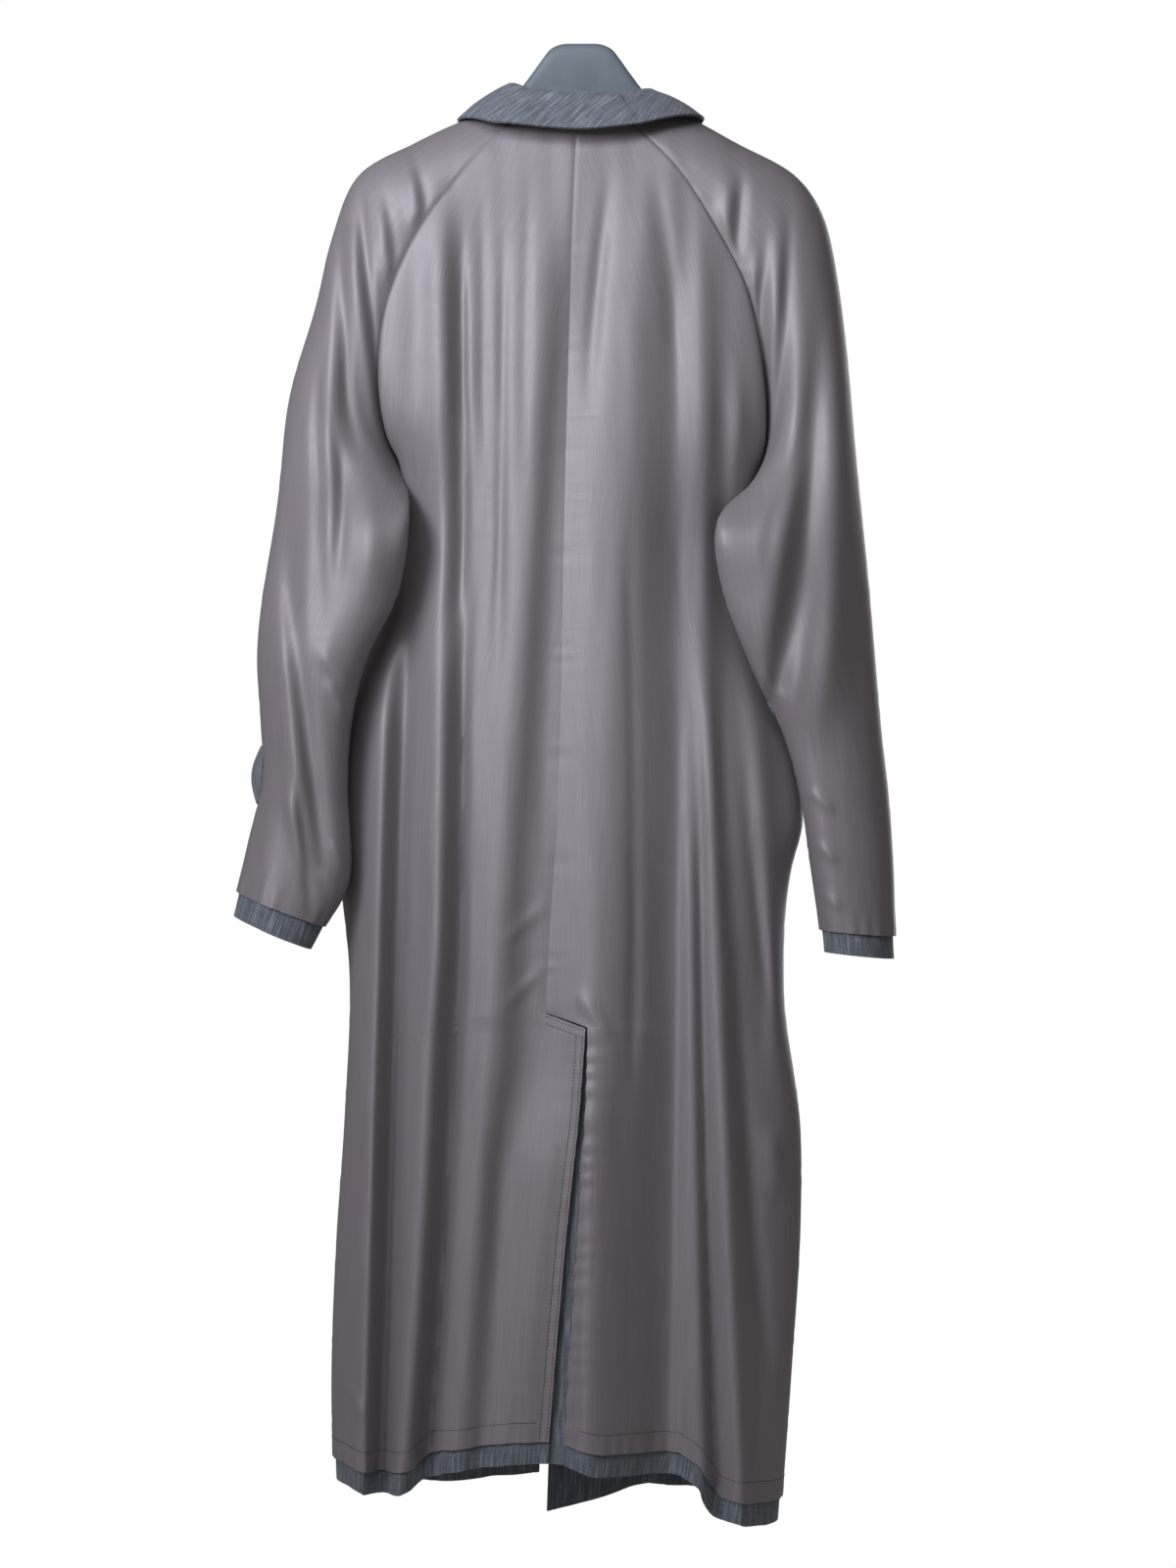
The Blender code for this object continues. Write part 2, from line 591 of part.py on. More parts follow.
def add_layer(name, point, side, face, rows, columns):
    """A wool wall that lies under a panel, made from the panel's own points."""
    outer = point(side, face, rows, columns)
    normal = surface_normals(point, side, face, rows, columns)
    outer = outer - normal * (LINED_CLOTH + LAYER_GAP)
    if point is sleeve_point:
        outer = open_sleeve_seams(outer, side, face, rows)
    else:
        outer = open_body_seams(outer, side, face, rows)
    add_wall(name, outer, -normal, WOOL)


def build_wool_edges():
    """The wool that shows past the lining at the hem and at the cuffs."""
    hem_rows = np.array(body_rows()[-2:] + [2 + HEM_SHOWS / (HEM_LEVEL - UNDERARM_DROP)]).reshape(-1, 1)
    for side in ("left", "right"):
        t = np.linspace(0.0, 1.0, BACK_COLUMNS + 1).reshape(1, -1)
        add_layer("hem_back_" + side, body_point, side, BACK, *np.broadcast_arrays(hem_rows, t))
        split = front_split(hem_rows)
        t = split + (1 - split) * np.linspace(0.0, 1.0, FRONT_COLUMNS + 1).reshape(1, -1)
        add_layer("hem_front_" + side, body_point, side, FRONT, *np.broadcast_arrays(hem_rows, t))
        s = np.array([2 - 1 / UPPER_STEPS, 2.0, 2 + 1 / UNDERARM_ROW]).reshape(-1, 1)
        q = np.linspace(0.0, 1.0, SLEEVE_COLUMNS + 1).reshape(1, -1)
        for face, word in ((BACK, "back"), (FRONT, "front")):
            add_layer("cuff_" + word + "_" + side, sleeve_point, side, face, *np.broadcast_arrays(s, q))


def back_place(x, drop):
    """The back's surface at an x and a drop, found by its own folds and section."""
    left = along(LEFT_SIDE, drop)
    right = along(RIGHT_SIDE, drop)
    centre = straight(CENTRE_BACK + CENTRE_BELOW_VENT, drop)
    across = np.where(x < centre, (x - centre) / (left - centre), (x - centre) / (right - centre))
    bend = np.arcsin(np.clip(across, 0.0, 1.0) ** (1 / SQUARENESS))
    depth = along(BODY_DEPTH, drop, 1) * np.cos(bend) ** SQUARENESS + fold_height(BACK_FOLDS, x, drop)
    return np.stack(np.broadcast_arrays(x, -depth, -drop), axis=-1)


def build_vent_underlay():
    """Wool behind the vent, which shows between its two edges."""
    depth = LINED_CLOTH + WOOL + UNDERLAY_GAP
    lowest = straight(BACK_HEM, MIDDLE_OF_HEM) + HEM_SHOWS
    drops = np.linspace(VENT_TOP - UNDERLAY_ABOVE_BAR, lowest, UNDERLAY_ROWS).reshape(-1, 1)
    left = straight(LEFT_VENT_EDGE, drops) - UNDERLAY_REACH_LEFT
    left = left - UNDERLAY_REACH_AT_BAR * (drops < VENT_BAR_END)
    right = straight(RIGHT_VENT_EDGE, drops) + UNDERLAY_REACH_RIGHT
    x = left + (right - left) * np.linspace(0.0, 1.0, UNDERLAY_COLUMNS).reshape(1, -1)
    outer = back_place(x, np.broadcast_to(drops, x.shape))
    by_x = back_place(x + STEP, drops) - back_place(x - STEP, drops)
    by_drop = back_place(x, drops + STEP) - back_place(x, drops - STEP)
    normal = np.cross(by_x, by_drop)
    normal = normal / np.linalg.norm(normal, axis=-1, keepdims=True)
    normal = normal * np.where(normal[..., 1:2] < 0, 1.0, -1.0)
    add_wall("vent_underlay", outer - normal * depth, -normal, WOOL)


def neck_line():
    """Points round the neck, from the left front edge by the back to the right front edge."""
    def body(side, face, places):
        return body_point(side, face, np.zeros((1, 1)), np.reshape(places, (1, -1)))[0]

    def sleeve(side, face, count):
        q = np.linspace(0.0, 1.0, count).reshape(1, -1)
        return sleeve_point(side, face, np.zeros((1, 1)), q)[0]

    halves = []
    facing_end = FACING_SHARE[0]
    front = [0.0, facing_end / 3, facing_end * 2 / 3, facing_end, (1 + facing_end) / 2, 1.0]
    for side in ("left", "right"):
        half = np.concatenate([
            body(side, BACK, np.linspace(0.0, 1.0, 9)),
            sleeve(side, BACK, 4)[::-1][1:],
            sleeve(side, FRONT, 4)[1:],
            body(side, FRONT, front)[::-1][1:],
        ])
        halves.append(half)
    return np.concatenate([halves[0][::-1], halves[1][1:]])


def build_collar():
    """A stand that rises from the neck line and a fall folded over it."""
    base = neck_line()
    out = base * (1 / NECK_HALF_WIDTH**2, 1 / NECK_HALF_DEPTH**2, 0.0)
    out = out / np.linalg.norm(out, axis=-1, keepdims=True)
    angle = np.degrees(np.abs(np.arctan2(base[:, 0], -(base[:, 1] - COLLAR_CENTRE_Y))))
    shape = {}
    for n, name in enumerate(COLLAR_HEAD):
        shape[name] = curve(column(COLLAR, 0), column(COLLAR, n), angle)[:, None]
    path = np.gradient(base, axis=0)
    for _ in range(COLLAR_SMOOTHING):
        path[1:-1] = (path[:-2] + 2 * path[1:-1] + path[2:]) / 4
    up = np.cross(path, out)
    up = up / np.linalg.norm(up, axis=-1, keepdims=True)
    up = up * np.where(up[:, 2:] < 0, -1.0, 1.0)
    foot = base + up * COLLAR_BASE_GAP
    top = foot - out * shape["lean"] + up * shape["rise"]
    edge = top + out * shape["spread"] - up * shape["drop"]
    rings = [foot, foot + (top - foot) * 0.5]
    rings.append(top - out * COLLAR_ROLL * 0.5 - up * COLLAR_ROLL)
    rings.append(top)
    rings.append(top + out * COLLAR_ROLL * 1.6 - up * COLLAR_ROLL * 0.7)
    bow = (out + up) * COLLAR_BOW
    rings += [top + (edge - top) * f + bow * math.sin(math.pi * f) for f in (0.35, 0.65)]
    rings.append(edge)
    grid = np.stack(rings)
    by_ring = np.gradient(grid, axis=0)
    by_path = np.gradient(grid, axis=1)
    normal = np.cross(by_ring, by_path)
    normal = normal / np.linalg.norm(normal, axis=-1, keepdims=True)
    if normal[3, len(base) // 2, 2] < 0:
        normal = -normal
    add_wall("collar", grid + normal * COLLAR_CLOTH / 2, -normal, COLLAR_CLOTH)


def build_strap():
    """The strap's ends lie on the sleeve's outer line and its middle bows out."""
    keys = [number / UNDERARM_ROW for number in range(len(LEFT_SLEEVE))]
    s_first, s_last = np.interp(STRAP_DROPS, column(LEFT_SLEEVE, 1), keys)
    s = np.linspace(s_first, s_last, STRAP_ROWS + 1)
    line = sleeve_point("left", BACK, s, np.zeros_like(s))
    bow = STRAP_BOW * np.sin(np.linspace(0.0, math.pi, STRAP_ROWS + 1))
    line[:, 0] -= STRAP_CLEAR + WOOL + bow
    width = np.array([-1.0, 0.0, 1.0]) * STRAP_HALF_WIDTH
    grid = np.repeat(line[:, None, :], len(width), axis=1)
    grid[:, :, 1] += width
    inward = np.zeros_like(grid)
    inward[..., 0] = 1.0
    add_wall("sleeve_strap_left", grid, inward, WOOL)


def hanger_section(x, side):
    """An eight-sided section across the hanger."""
    reach = abs(x)
    if reach <= HUMP[-1][0]:
        top = straight(HUMP, reach)
    else:
        line = sleeve_row(side, np.linspace(0.0, 4 / UNDERARM_ROW, 25))
        top = float(np.interp(reach, np.abs(line["top_x"]), line["top_drop"])) + ARM_CLEAR
    under = straight(HANGER_UNDERSIDE, reach)
    half = straight(HANGER_HALF_THICKNESS, reach)
    cut = half * HANGER_CHAMFER
    corners = ((-half + cut, top), (half - cut, top), (half, top + cut), (half, under - cut),
               (half - cut, under), (-half + cut, under), (-half, under - cut), (-half, top + cut))
    return [(x, y, -drop) for y, drop in corners]


def build_hanger():
    """Broad hanger: a hump at the neck and an arm into each shoulder, with a hole for its hook."""
    reaches = [row[0] for row in HUMP] + list(ARM_STATIONS)
    sections = [hanger_section(-x, "left") for x in reversed(reaches[1:])]
    sections += [hanger_section(x, "right") for x in reaches]
    points = np.array([p for section in sections for p in section])
    faces = [tuple(range(8)), tuple(range(len(points) - 1, len(points) - 9, -1))]
    for i in range(len(sections) - 1):
        for j in range(8):
            a, b = i * 8 + j, i * 8 + (j + 1) % 8
            faces.append((b, a, a + 8, b + 8))
    hanger = add_mesh("hanger", points, faces)
    turns = [k * math.tau / HOOK_HOLE_SIDES for k in range(HOOK_HOLE_SIDES)]
    ring = [(HOOK_HOLE_RADIUS * math.cos(turn), HOOK_HOLE_RADIUS * math.sin(turn)) for turn in turns]
    hole_points = np.array([(x, y, z) for z in (-HOOK_HOLE_DEPTH, HOOK_HOLE_DEPTH) for x, y in ring])
    sides = HOOK_HOLE_SIDES
    hole_faces = [tuple(range(sides)), tuple(range(2 * sides - 1, sides - 1, -1))]
    hole_faces += [((j + 1) % sides, j, j + sides, (j + 1) % sides + sides) for j in range(sides)]
    cutter = add_mesh("hook_hole_cutter", hole_points, hole_faces)
    cutter.hide_render = True
    cutter.display_type = "WIRE"
    cut = hanger.modifiers.new("hook_hole", "BOOLEAN")
    cut.object = cutter
    cut.operation = "DIFFERENCE"
    cut.solver = "EXACT"


def add_finishes():
    """Gives each piece the material of its kind. What is neither lining nor hanger is wool."""
    finishes = {}
    for name, colour, roughness in FINISHES:
        finish = bpy.data.materials.new(name)
        finish.use_nodes = True
        shader = finish.node_tree.nodes["Principled BSDF"]
        shader.inputs["Base Color"].default_value = (*colour, 1.0)
        shader.inputs["Roughness"].default_value = roughness
        shader.inputs["Metallic"].default_value = 0.0
        finishes[name] = finish
    for thing in bpy.data.objects:
        kind = thing.name.split("_")[0]
        thing.data.materials.append(finishes.get(kind, finishes["wool"]))


def main():
    clear_scene()
    build_panels()
    build_wool_edges()
    build_vent_underlay()
    build_collar()
    build_strap()
    build_hanger()
    add_finishes()


main()
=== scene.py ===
"""The look of a long raglan coat that hangs inside out on a broad hanger.

Each cloth piece repeats its solid's shape on a finer grid, with the smaller folds, puckers, seam
grooves and stitches that the solids leave out. Metres, Z up, the back of the coat faces -Y, and a
height is written as a drop below the origin, the flat top of the hanger.
"""

import math

import bpy
import numpy as np
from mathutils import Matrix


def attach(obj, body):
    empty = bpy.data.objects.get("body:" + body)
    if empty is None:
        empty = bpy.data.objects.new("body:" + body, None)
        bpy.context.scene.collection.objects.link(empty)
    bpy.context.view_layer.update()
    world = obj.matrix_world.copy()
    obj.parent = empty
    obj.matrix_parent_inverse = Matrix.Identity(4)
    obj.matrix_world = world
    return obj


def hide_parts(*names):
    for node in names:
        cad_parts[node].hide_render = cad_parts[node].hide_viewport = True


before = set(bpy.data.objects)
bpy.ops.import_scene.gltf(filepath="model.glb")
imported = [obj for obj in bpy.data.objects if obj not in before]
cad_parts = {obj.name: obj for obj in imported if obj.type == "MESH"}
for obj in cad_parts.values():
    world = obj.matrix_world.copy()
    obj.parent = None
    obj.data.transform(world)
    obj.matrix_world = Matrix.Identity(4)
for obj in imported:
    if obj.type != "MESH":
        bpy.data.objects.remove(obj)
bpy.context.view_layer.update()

bl_info = {
    "name": "Inside-out raglan coat",
    "version": (1, 0, 0),
    "blender": (4, 5, 0),
    "location": "View3D > Sidebar > Coat",
    "description": "Builds a satin-lined raglan coat, inside out, on a broad hanger",
    "category": "Add Mesh",
}

BACK = -1
FRONT = 1
OUTWARD = {"left": -1.0, "right": 1.0}
SIDE_NAMES = ("left", "right")

# Sleeves, neck to wrist: top line, seam with the body and below that the inner line, half depth,
# how far round the cloth reaches in degrees, and how far seam and top line lie from the middle plane
SLEEVE_HEAD = ("top_x", "top_drop", "seam_x", "seam_drop", "half_depth", "wrap", "seam_y", "top_y")
UNDERARM_ROW = 7
LEFT_SLEEVE = (
    (-0.075, 0.057, -0.057, 0.071, 0.045, 41, 0.000, 0.000),
    (-0.110, 0.071, -0.081, 0.092, 0.046, 62, 0.000, 0.000),
    (-0.150, 0.090, -0.110, 0.128, 0.047, 88, 0.000, 0.000),
    (-0.200, 0.119, -0.146, 0.177, 0.050, 100, 0.000, 0.000),
    (-0.224, 0.176, -0.172, 0.238, 0.052, 112, 0.000, 0.000),
    (-0.240, 0.245, -0.180, 0.300, 0.052, 130, 0.000, 0.000),
    (-0.264, 0.318, -0.174, 0.352, 0.050, 155, 0.000, 0.000),
    (-0.268, 0.374, -0.158, 0.387, 0.048, 180, 0.000, 0.000),
    (-0.273, 0.427, -0.151, 0.432, 0.042, 180, -0.070, -0.014),
    (-0.284, 0.493, -0.160, 0.494, 0.042, 180, -0.066, -0.020),
    (-0.289, 0.550, -0.188, 0.553, 0.044, 180, -0.062, -0.022),
    (-0.286, 0.607, -0.202, 0.608, 0.043, 180, -0.056, -0.022),
    (-0.284, 0.660, -0.206, 0.666, 0.042, 180, -0.052, -0.024),
    (-0.296, 0.712, -0.204, 0.746, 0.041, 180, -0.048, -0.024),
    (-0.307, 0.760, -0.226, 0.791, 0.040, 180, -0.044, -0.024),
    (-0.312, 0.781, -0.237, 0.812, 0.039, 180, -0.043, -0.024),
)
RIGHT_SLEEVE = (
    (0.075, 0.056, 0.041, 0.074, 0.045, 57, 0.000, 0.000),
    (0.108, 0.072, 0.065, 0.096, 0.046, 72, 0.000, 0.000),
    (0.142, 0.091, 0.091, 0.125, 0.048, 90, 0.000, 0.000),
    (0.190, 0.117, 0.116, 0.166, 0.050, 100, 0.000, 0.000),
    (0.217, 0.154, 0.143, 0.216, 0.052, 112, 0.000, 0.000),
    (0.230, 0.208, 0.157, 0.270, 0.052, 130, 0.000, 0.000),
    (0.240, 0.285, 0.165, 0.330, 0.050, 155, 0.000, 0.000),
    (0.246, 0.365, 0.160, 0.384, 0.048, 180, 0.000, 0.000),
    (0.253, 0.436, 0.120, 0.432, 0.040, 180, -0.080, -0.012),
    (0.259, 0.502, 0.123, 0.490, 0.041, 180, -0.078, -0.014),
    (0.264, 0.562, 0.150, 0.562, 0.041, 180, -0.066, -0.014),
    (0.269, 0.620, 0.178, 0.618, 0.041, 180, -0.048, -0.015),
    (0.275, 0.674, 0.194, 0.674, 0.041, 180, -0.040, -0.016),
    (0.279, 0.735, 0.203, 0.733, 0.041, 180, -0.034, -0.018),
    (0.281, 0.800, 0.212, 0.794, 0.040, 180, -0.030, -0.018),
    (0.282, 0.820, 0.214, 0.814, 0.039, 180, -0.030, -0.018),
)
SLEEVES = {"left": LEFT_SLEEVE, "right": RIGHT_SLEEVE}

# Side seams of the body below the underarm, which the sleeves push towards the front: drop, x, y
LEFT_SIDE = (
    (0.387, -0.158, 0.000),
    (0.400, -0.166, 0.013),
    (0.430, -0.170, 0.018),
    (0.495, -0.176, 0.014),
    (0.555, -0.199, 0.010),
    (0.610, -0.214, 0.007),
    (0.670, -0.219, 0.006),
    (0.740, -0.217, 0.004),
    (0.830, -0.208, 0.000),
    (0.960, -0.212, 0.000),
    (1.080, -0.220, 0.000),
    (1.200, -0.224, 0.000),
    (1.340, -0.220, 0.000),
)
RIGHT_SIDE = (
    (0.384, 0.160, 0.000),
    (0.397, 0.157, 0.014),
    (0.430, 0.149, 0.018),
    (0.495, 0.147, 0.014),
    (0.560, 0.167, 0.010),
    (0.620, 0.189, 0.005),
    (0.670, 0.199, 0.002),
    (0.700, 0.199, 0.000),
    (0.740, 0.189, 0.000),
    (0.846, 0.182, 0.000),
    (0.975, 0.197, 0.000),
    (1.060, 0.197, 0.000),
    (1.190, 0.189, 0.000),
    (1.340, 0.178, 0.000),
)
SIDES = {"left": LEFT_SIDE, "right": RIGHT_SIDE}

# How far the middle of the back and of the front stand from the middle plane: drop, back, front
BODY_DEPTH = (
    (0.079, 0.045, 0.045),
    (0.130, 0.052, 0.052),
    (0.210, 0.056, 0.058),
    (0.390, 0.064, 0.064),
    (0.700, 0.074, 0.070),
    (1.000, 0.079, 0.076),
    (1.340, 0.086, 0.082),
)
SQUARENESS = 0.85
SEAM_CALM = 0.09
# The folds are shallow below the neck and deep at the hem: drop, share of their height
FOLD_GROWTH = ((0.150, 0.50), (0.450, 0.68), (0.700, 0.85), (0.950, 1.20), (1.250, 1.40))
# The sleeves press the body's sides flat by the underarm: how much, at which row, how far up and down
PRESS = 0.5
PRESS_ROW = 1.02
PRESS_ABOVE = 0.05
PRESS_BELOW = 0.09
# Above the underarm the body stays flat until close to the sleeve: how much, and the rows' start and end
FLAT = 0.5
FLAT_START = 0.25
FLAT_END = 0.75
FLAT_FADE = 0.12
BACK_NECK_DROP = 0.079
FRONT_NECK_DROP = 0.130
UNDERARM_DROP = 0.386
FRONT_GAP = 0.008
HEM_SHOWS = 0.020
# The front hem reaches a little way under the facing, whose seam has no groove there
HEM_TUCK = 0.012
HEM_TUCK_ROW = 1.92
HEM_TUCK_FADE = 0.05

# Centre back seam and the vent below it: drop, x
CENTRE_BACK = (
    (0.079, -0.004), (0.180, -0.008), (0.390, -0.014), (0.600, -0.018), (0.700, -0.021),
    (0.800, -0.028), (0.866, -0.031),
)
CENTRE_BELOW_VENT = ((1.300, -0.028),)
VENT_TOP = 0.866
VENT_BAR_END = 0.878
LEFT_VENT_EDGE = ((0.878, 0.004), (0.957, -0.002), (1.060, -0.013), (1.163, -0.022), (1.300, -0.033))
RIGHT_VENT_EDGE = ((0.877, 0.006), (0.948, 0.004), (1.060, -0.003), (1.181, -0.011), (1.300, -0.018))
VENT_BAR_GAP = 0.0004
VENT_EASE = 0.4
UNDERLAY_REACH_LEFT = 0.040
UNDERLAY_REACH_RIGHT = 0.012
UNDERLAY_GAP = 0.0042
UNDERLAY_ABOVE_BAR = 0.004

# Line where the two fronts meet: drop, x. Then the facing's share of a front at neck, underarm, hem
CENTRE_FRONT = ((0.130, 0.000), (0.600, -0.010), (1.000, -0.024), (1.340, -0.036))
FACING_SHARE = (0.58, 0.36, 0.32)

# Lower edge of the lining: x, drop
BACK_HEM = (
    (-0.210, 1.266), (-0.180, 1.272), (-0.148, 1.266), (-0.124, 1.248), (-0.060, 1.240),
    (-0.020, 1.239), (0.014, 1.247), (0.088, 1.252), (0.106, 1.264), (0.124, 1.293), (0.170, 1.302),
)
LEFT_FRONT_HEM = ((-0.210, 1.266), (-0.158, 1.284), (-0.092, 1.283), (-0.040, 1.276))
RIGHT_FRONT_HEM = (
    (-0.032, 1.312), (0.013, 1.301), (0.066, 1.286), (0.099, 1.286), (0.140, 1.295), (0.170, 1.302),
)
HEM_LEVEL = 1.265
MIDDLE_OF_HEM = -0.025

# Folds, each a ridge through three points: x and drop of its start, middle and end, its width to
# the left and right, and its height. A trough has a negative height.
FOLD_HEAD = ("x0", "d0", "x1", "d1", "x2", "d2", "left", "right", "height")
FOLD_FADE = 0.110
FOLD_FADE_SHARE = 0.4
BACK_FOLDS = (
    (-0.170, 0.509, -0.178, 0.751, -0.194, 1.400, 0.018, 0.010, 0.016),
    (-0.124, 0.120, -0.122, 0.664, -0.164, 1.400, 0.018, 0.012, 0.017),
    (-0.028, 0.120, -0.057, 0.664, -0.102, 1.400, 0.036, 0.020, 0.016),
    (0.058, 0.100, 0.026, 0.664, 0.013, 1.400, 0.042, 0.040, 0.021),
    (-0.022, 0.900, -0.036, 1.052, -0.072, 1.400, 0.026, 0.018, 0.007),
    (0.012, 0.860, 0.006, 1.050, 0.000, 1.400, 0.010, 0.020, 0.006),
    (0.106, 0.130, 0.116, 0.664, 0.148, 1.400, 0.012, 0.013, 0.013),
    (0.098, 0.664, 0.102, 0.923, 0.108, 1.400, 0.011, 0.009, 0.006),
    (0.148, 0.527, 0.164, 0.733, 0.178, 0.960, 0.010, 0.011, 0.007),
)
BACK_TROUGHS = (
    (-0.150, 0.330, -0.159, 0.660, -0.180, 1.400, 0.010, 0.008, -0.013),
    (-0.107, 0.150, -0.1045, 0.550, -0.106, 0.900, 0.012, 0.0045, -0.015),
    (-0.1058, 0.790, -0.1145, 0.970, -0.145, 1.400, 0.020, 0.005, -0.018),
    (-0.068, 0.150, -0.070, 0.360, -0.073, 0.600, 0.005, 0.005, -0.0045),
    (-0.088, 0.110, -0.087, 0.260, -0.088, 0.420, 0.005, 0.006, -0.0035),
    (-0.046, 0.110, -0.048, 0.230, -0.051, 0.400, 0.006, 0.005, -0.0030),
    (-0.010, 0.200, -0.040, 0.594, -0.095, 1.380, 0.012, 0.016, -0.006),
    (-0.063, 0.900, -0.082, 1.150, -0.097, 1.400, 0.014, 0.012, -0.006),
    (0.030, 0.100, 0.014, 0.224, 0.005, 0.360, 0.007, 0.007, -0.006),
    (0.062, 0.110, 0.076, 0.200, 0.084, 0.320, 0.010, 0.008, -0.007),
    (0.080, 0.200, 0.084, 0.664, 0.070, 1.400, 0.020, 0.008, -0.007),
    (0.040, 0.420, 0.046, 0.660, 0.044, 0.960, 0.005, 0.006, -0.0030),
    (0.104, 0.640, 0.109, 1.000, 0.124, 1.400, 0.005, 0.005, -0.006),
    (0.127, 0.280, 0.121, 0.550, 0.137, 0.860, 0.006, 0.008, -0.007),
    (0.134, 0.780, 0.147, 1.000, 0.170, 1.220, 0.008, 0.008, -0.005),
)
FRONT_FOLDS = (
    (-0.120, 0.240, -0.130, 0.700, -0.150, 1.400, 0.018, 0.015, 0.013),
    (-0.060, 0.420, -0.075, 0.800, -0.085, 1.400, 0.020, 0.016, 0.010),
    (0.055, 0.400, 0.050, 0.800, 0.045, 1.400, 0.017, 0.020, 0.010),
    (0.110, 0.240, 0.108, 0.700, 0.118, 1.400, 0.015, 0.018, 0.013),
)
LEFT_SLEEVE_BACK_FOLDS = (
    (-0.209, 0.150, -0.216, 0.317, -0.220, 0.510, 0.020, 0.010, 0.008),
    (-0.202, 0.140, -0.190, 0.256, -0.163, 0.420, 0.010, 0.009, 0.007),
    (-0.263, 0.440, -0.251, 0.586, -0.234, 0.760, 0.020, 0.011, 0.010),
    (-0.272, 0.640, -0.275, 0.708, -0.285, 0.860, 0.010, 0.020, 0.006),
    (-0.152, 0.105, -0.147, 0.143, -0.142, 0.190, 0.008, 0.007, 0.004),
    (-0.178, 0.140, -0.173, 0.182, -0.166, 0.235, 0.008, 0.007, 0.004),
    (-0.192, 0.386, -0.183, 0.456, -0.187, 0.525, 0.010, 0.012, 0.006),
)
RIGHT_SLEEVE_BACK_FOLDS = (
    (0.174, 0.150, 0.171, 0.317, 0.147, 0.500, 0.010, 0.009, 0.007),
    (0.193, 0.200, 0.190, 0.386, 0.150, 0.580, 0.016, 0.014, 0.011),
    (0.221, 0.220, 0.227, 0.421, 0.208, 0.640, 0.014, 0.018, 0.011),
    (0.190, 0.620, 0.206, 0.699, 0.226, 0.860, 0.010, 0.020, 0.006),
    (0.131, 0.120, 0.129, 0.165, 0.124, 0.215, 0.008, 0.008, 0.004),
    (0.161, 0.180, 0.153, 0.230, 0.145, 0.285, 0.007, 0.007, 0.004),
)
LEFT_SLEEVE_TROUGHS = (
    (-0.198, 0.100, -0.186, 0.252, -0.160, 0.420, 0.006, 0.005, -0.007),
    (-0.216, 0.130, -0.210, 0.280, -0.213, 0.520, 0.007, 0.006, -0.008),
    (-0.238, 0.250, -0.232, 0.380, -0.226, 0.560, 0.005, 0.006, -0.005),
    (-0.176, 0.120, -0.169, 0.173, -0.162, 0.230, 0.005, 0.005, -0.003),
    (-0.154, 0.085, -0.143, 0.128, -0.133, 0.180, 0.005, 0.005, -0.003),
    (-0.268, 0.400, -0.247, 0.580, -0.221, 0.780, 0.008, 0.009, -0.011),
    (-0.250, 0.640, -0.243, 0.710, -0.236, 0.800, 0.005, 0.006, -0.005),
)
RIGHT_SLEEVE_TROUGHS = (
    (0.144, 0.110, 0.139, 0.168, 0.135, 0.220, 0.006, 0.006, -0.004),
    (0.168, 0.160, 0.158, 0.250, 0.160, 0.345, 0.006, 0.006, -0.005),
    (0.185, 0.140, 0.179, 0.260, 0.162, 0.460, 0.005, 0.006, -0.006),
    (0.207, 0.270, 0.196, 0.420, 0.152, 0.680, 0.011, 0.010, -0.012),
)
LEFT_SLEEVE_FRONT_FOLDS = (
    (-0.205, 0.170, -0.205, 0.350, -0.215, 0.560, 0.014, 0.016, 0.008),
    (-0.245, 0.420, -0.240, 0.560, -0.250, 0.760, 0.014, 0.014, 0.008),
)
RIGHT_SLEEVE_FRONT_FOLDS = (
    (0.195, 0.170, 0.200, 0.350, 0.185, 0.560, 0.014, 0.016, 0.008),
    (0.230, 0.420, 0.222, 0.560, 0.236, 0.760, 0.014, 0.014, 0.008),
)
BODY_FOLDS = {BACK: BACK_FOLDS + BACK_TROUGHS, FRONT: FRONT_FOLDS}
SLEEVE_FOLDS = {
    ("left", BACK): LEFT_SLEEVE_BACK_FOLDS + LEFT_SLEEVE_TROUGHS,
    ("right", BACK): RIGHT_SLEEVE_BACK_FOLDS + RIGHT_SLEEVE_TROUGHS,
    ("left", FRONT): LEFT_SLEEVE_FRONT_FOLDS,
    ("right", FRONT): RIGHT_SLEEVE_FRONT_FOLDS,
}

# Creases, each a short straight ridge, or a groove where its height is negative: x and drop of both
# ends, width and height
CREASE_HEAD = ("x0", "d0", "x1", "d1", "width", "height")
CREASE_FADE = 0.35
BACK_CREASES = (
    (-0.006, 0.842, 0.030, 0.890, 0.006, 0.0030),
    (-0.028, 0.768, -0.072, 0.806, 0.005, 0.0022),
    (-0.032, 0.825, -0.070, 0.862, 0.005, 0.0020),
    (-0.216, 1.185, -0.186, 1.228, 0.006, 0.0030),
    (0.141, 0.285, 0.139, 0.560, 0.007, 0.0060),
    (0.143, 0.645, 0.170, 0.897, 0.006, -0.0045),
    (0.168, 0.960, 0.176, 1.040, 0.010, 0.0050),
)
FRONT_CREASES = ((-0.100, 0.900, -0.120, 1.200, 0.010, 0.0030), (0.080, 0.860, 0.090, 1.220, 0.010, 0.0030))
BODY_CREASES = {BACK: BACK_CREASES, FRONT: FRONT_CREASES}
LEFT_SLEEVE_CREASES = (
    (-0.225, 0.570, -0.200, 0.612, 0.005, 0.0035),
    (-0.236, 0.540, -0.196, 0.585, 0.006, 0.0035),
    (-0.262, 0.655, -0.236, 0.760, 0.006, 0.0040),
    (-0.232, 0.735, -0.206, 0.772, 0.005, 0.0030),
    (-0.222, 0.712, -0.202, 0.742, 0.004, 0.0025),
)
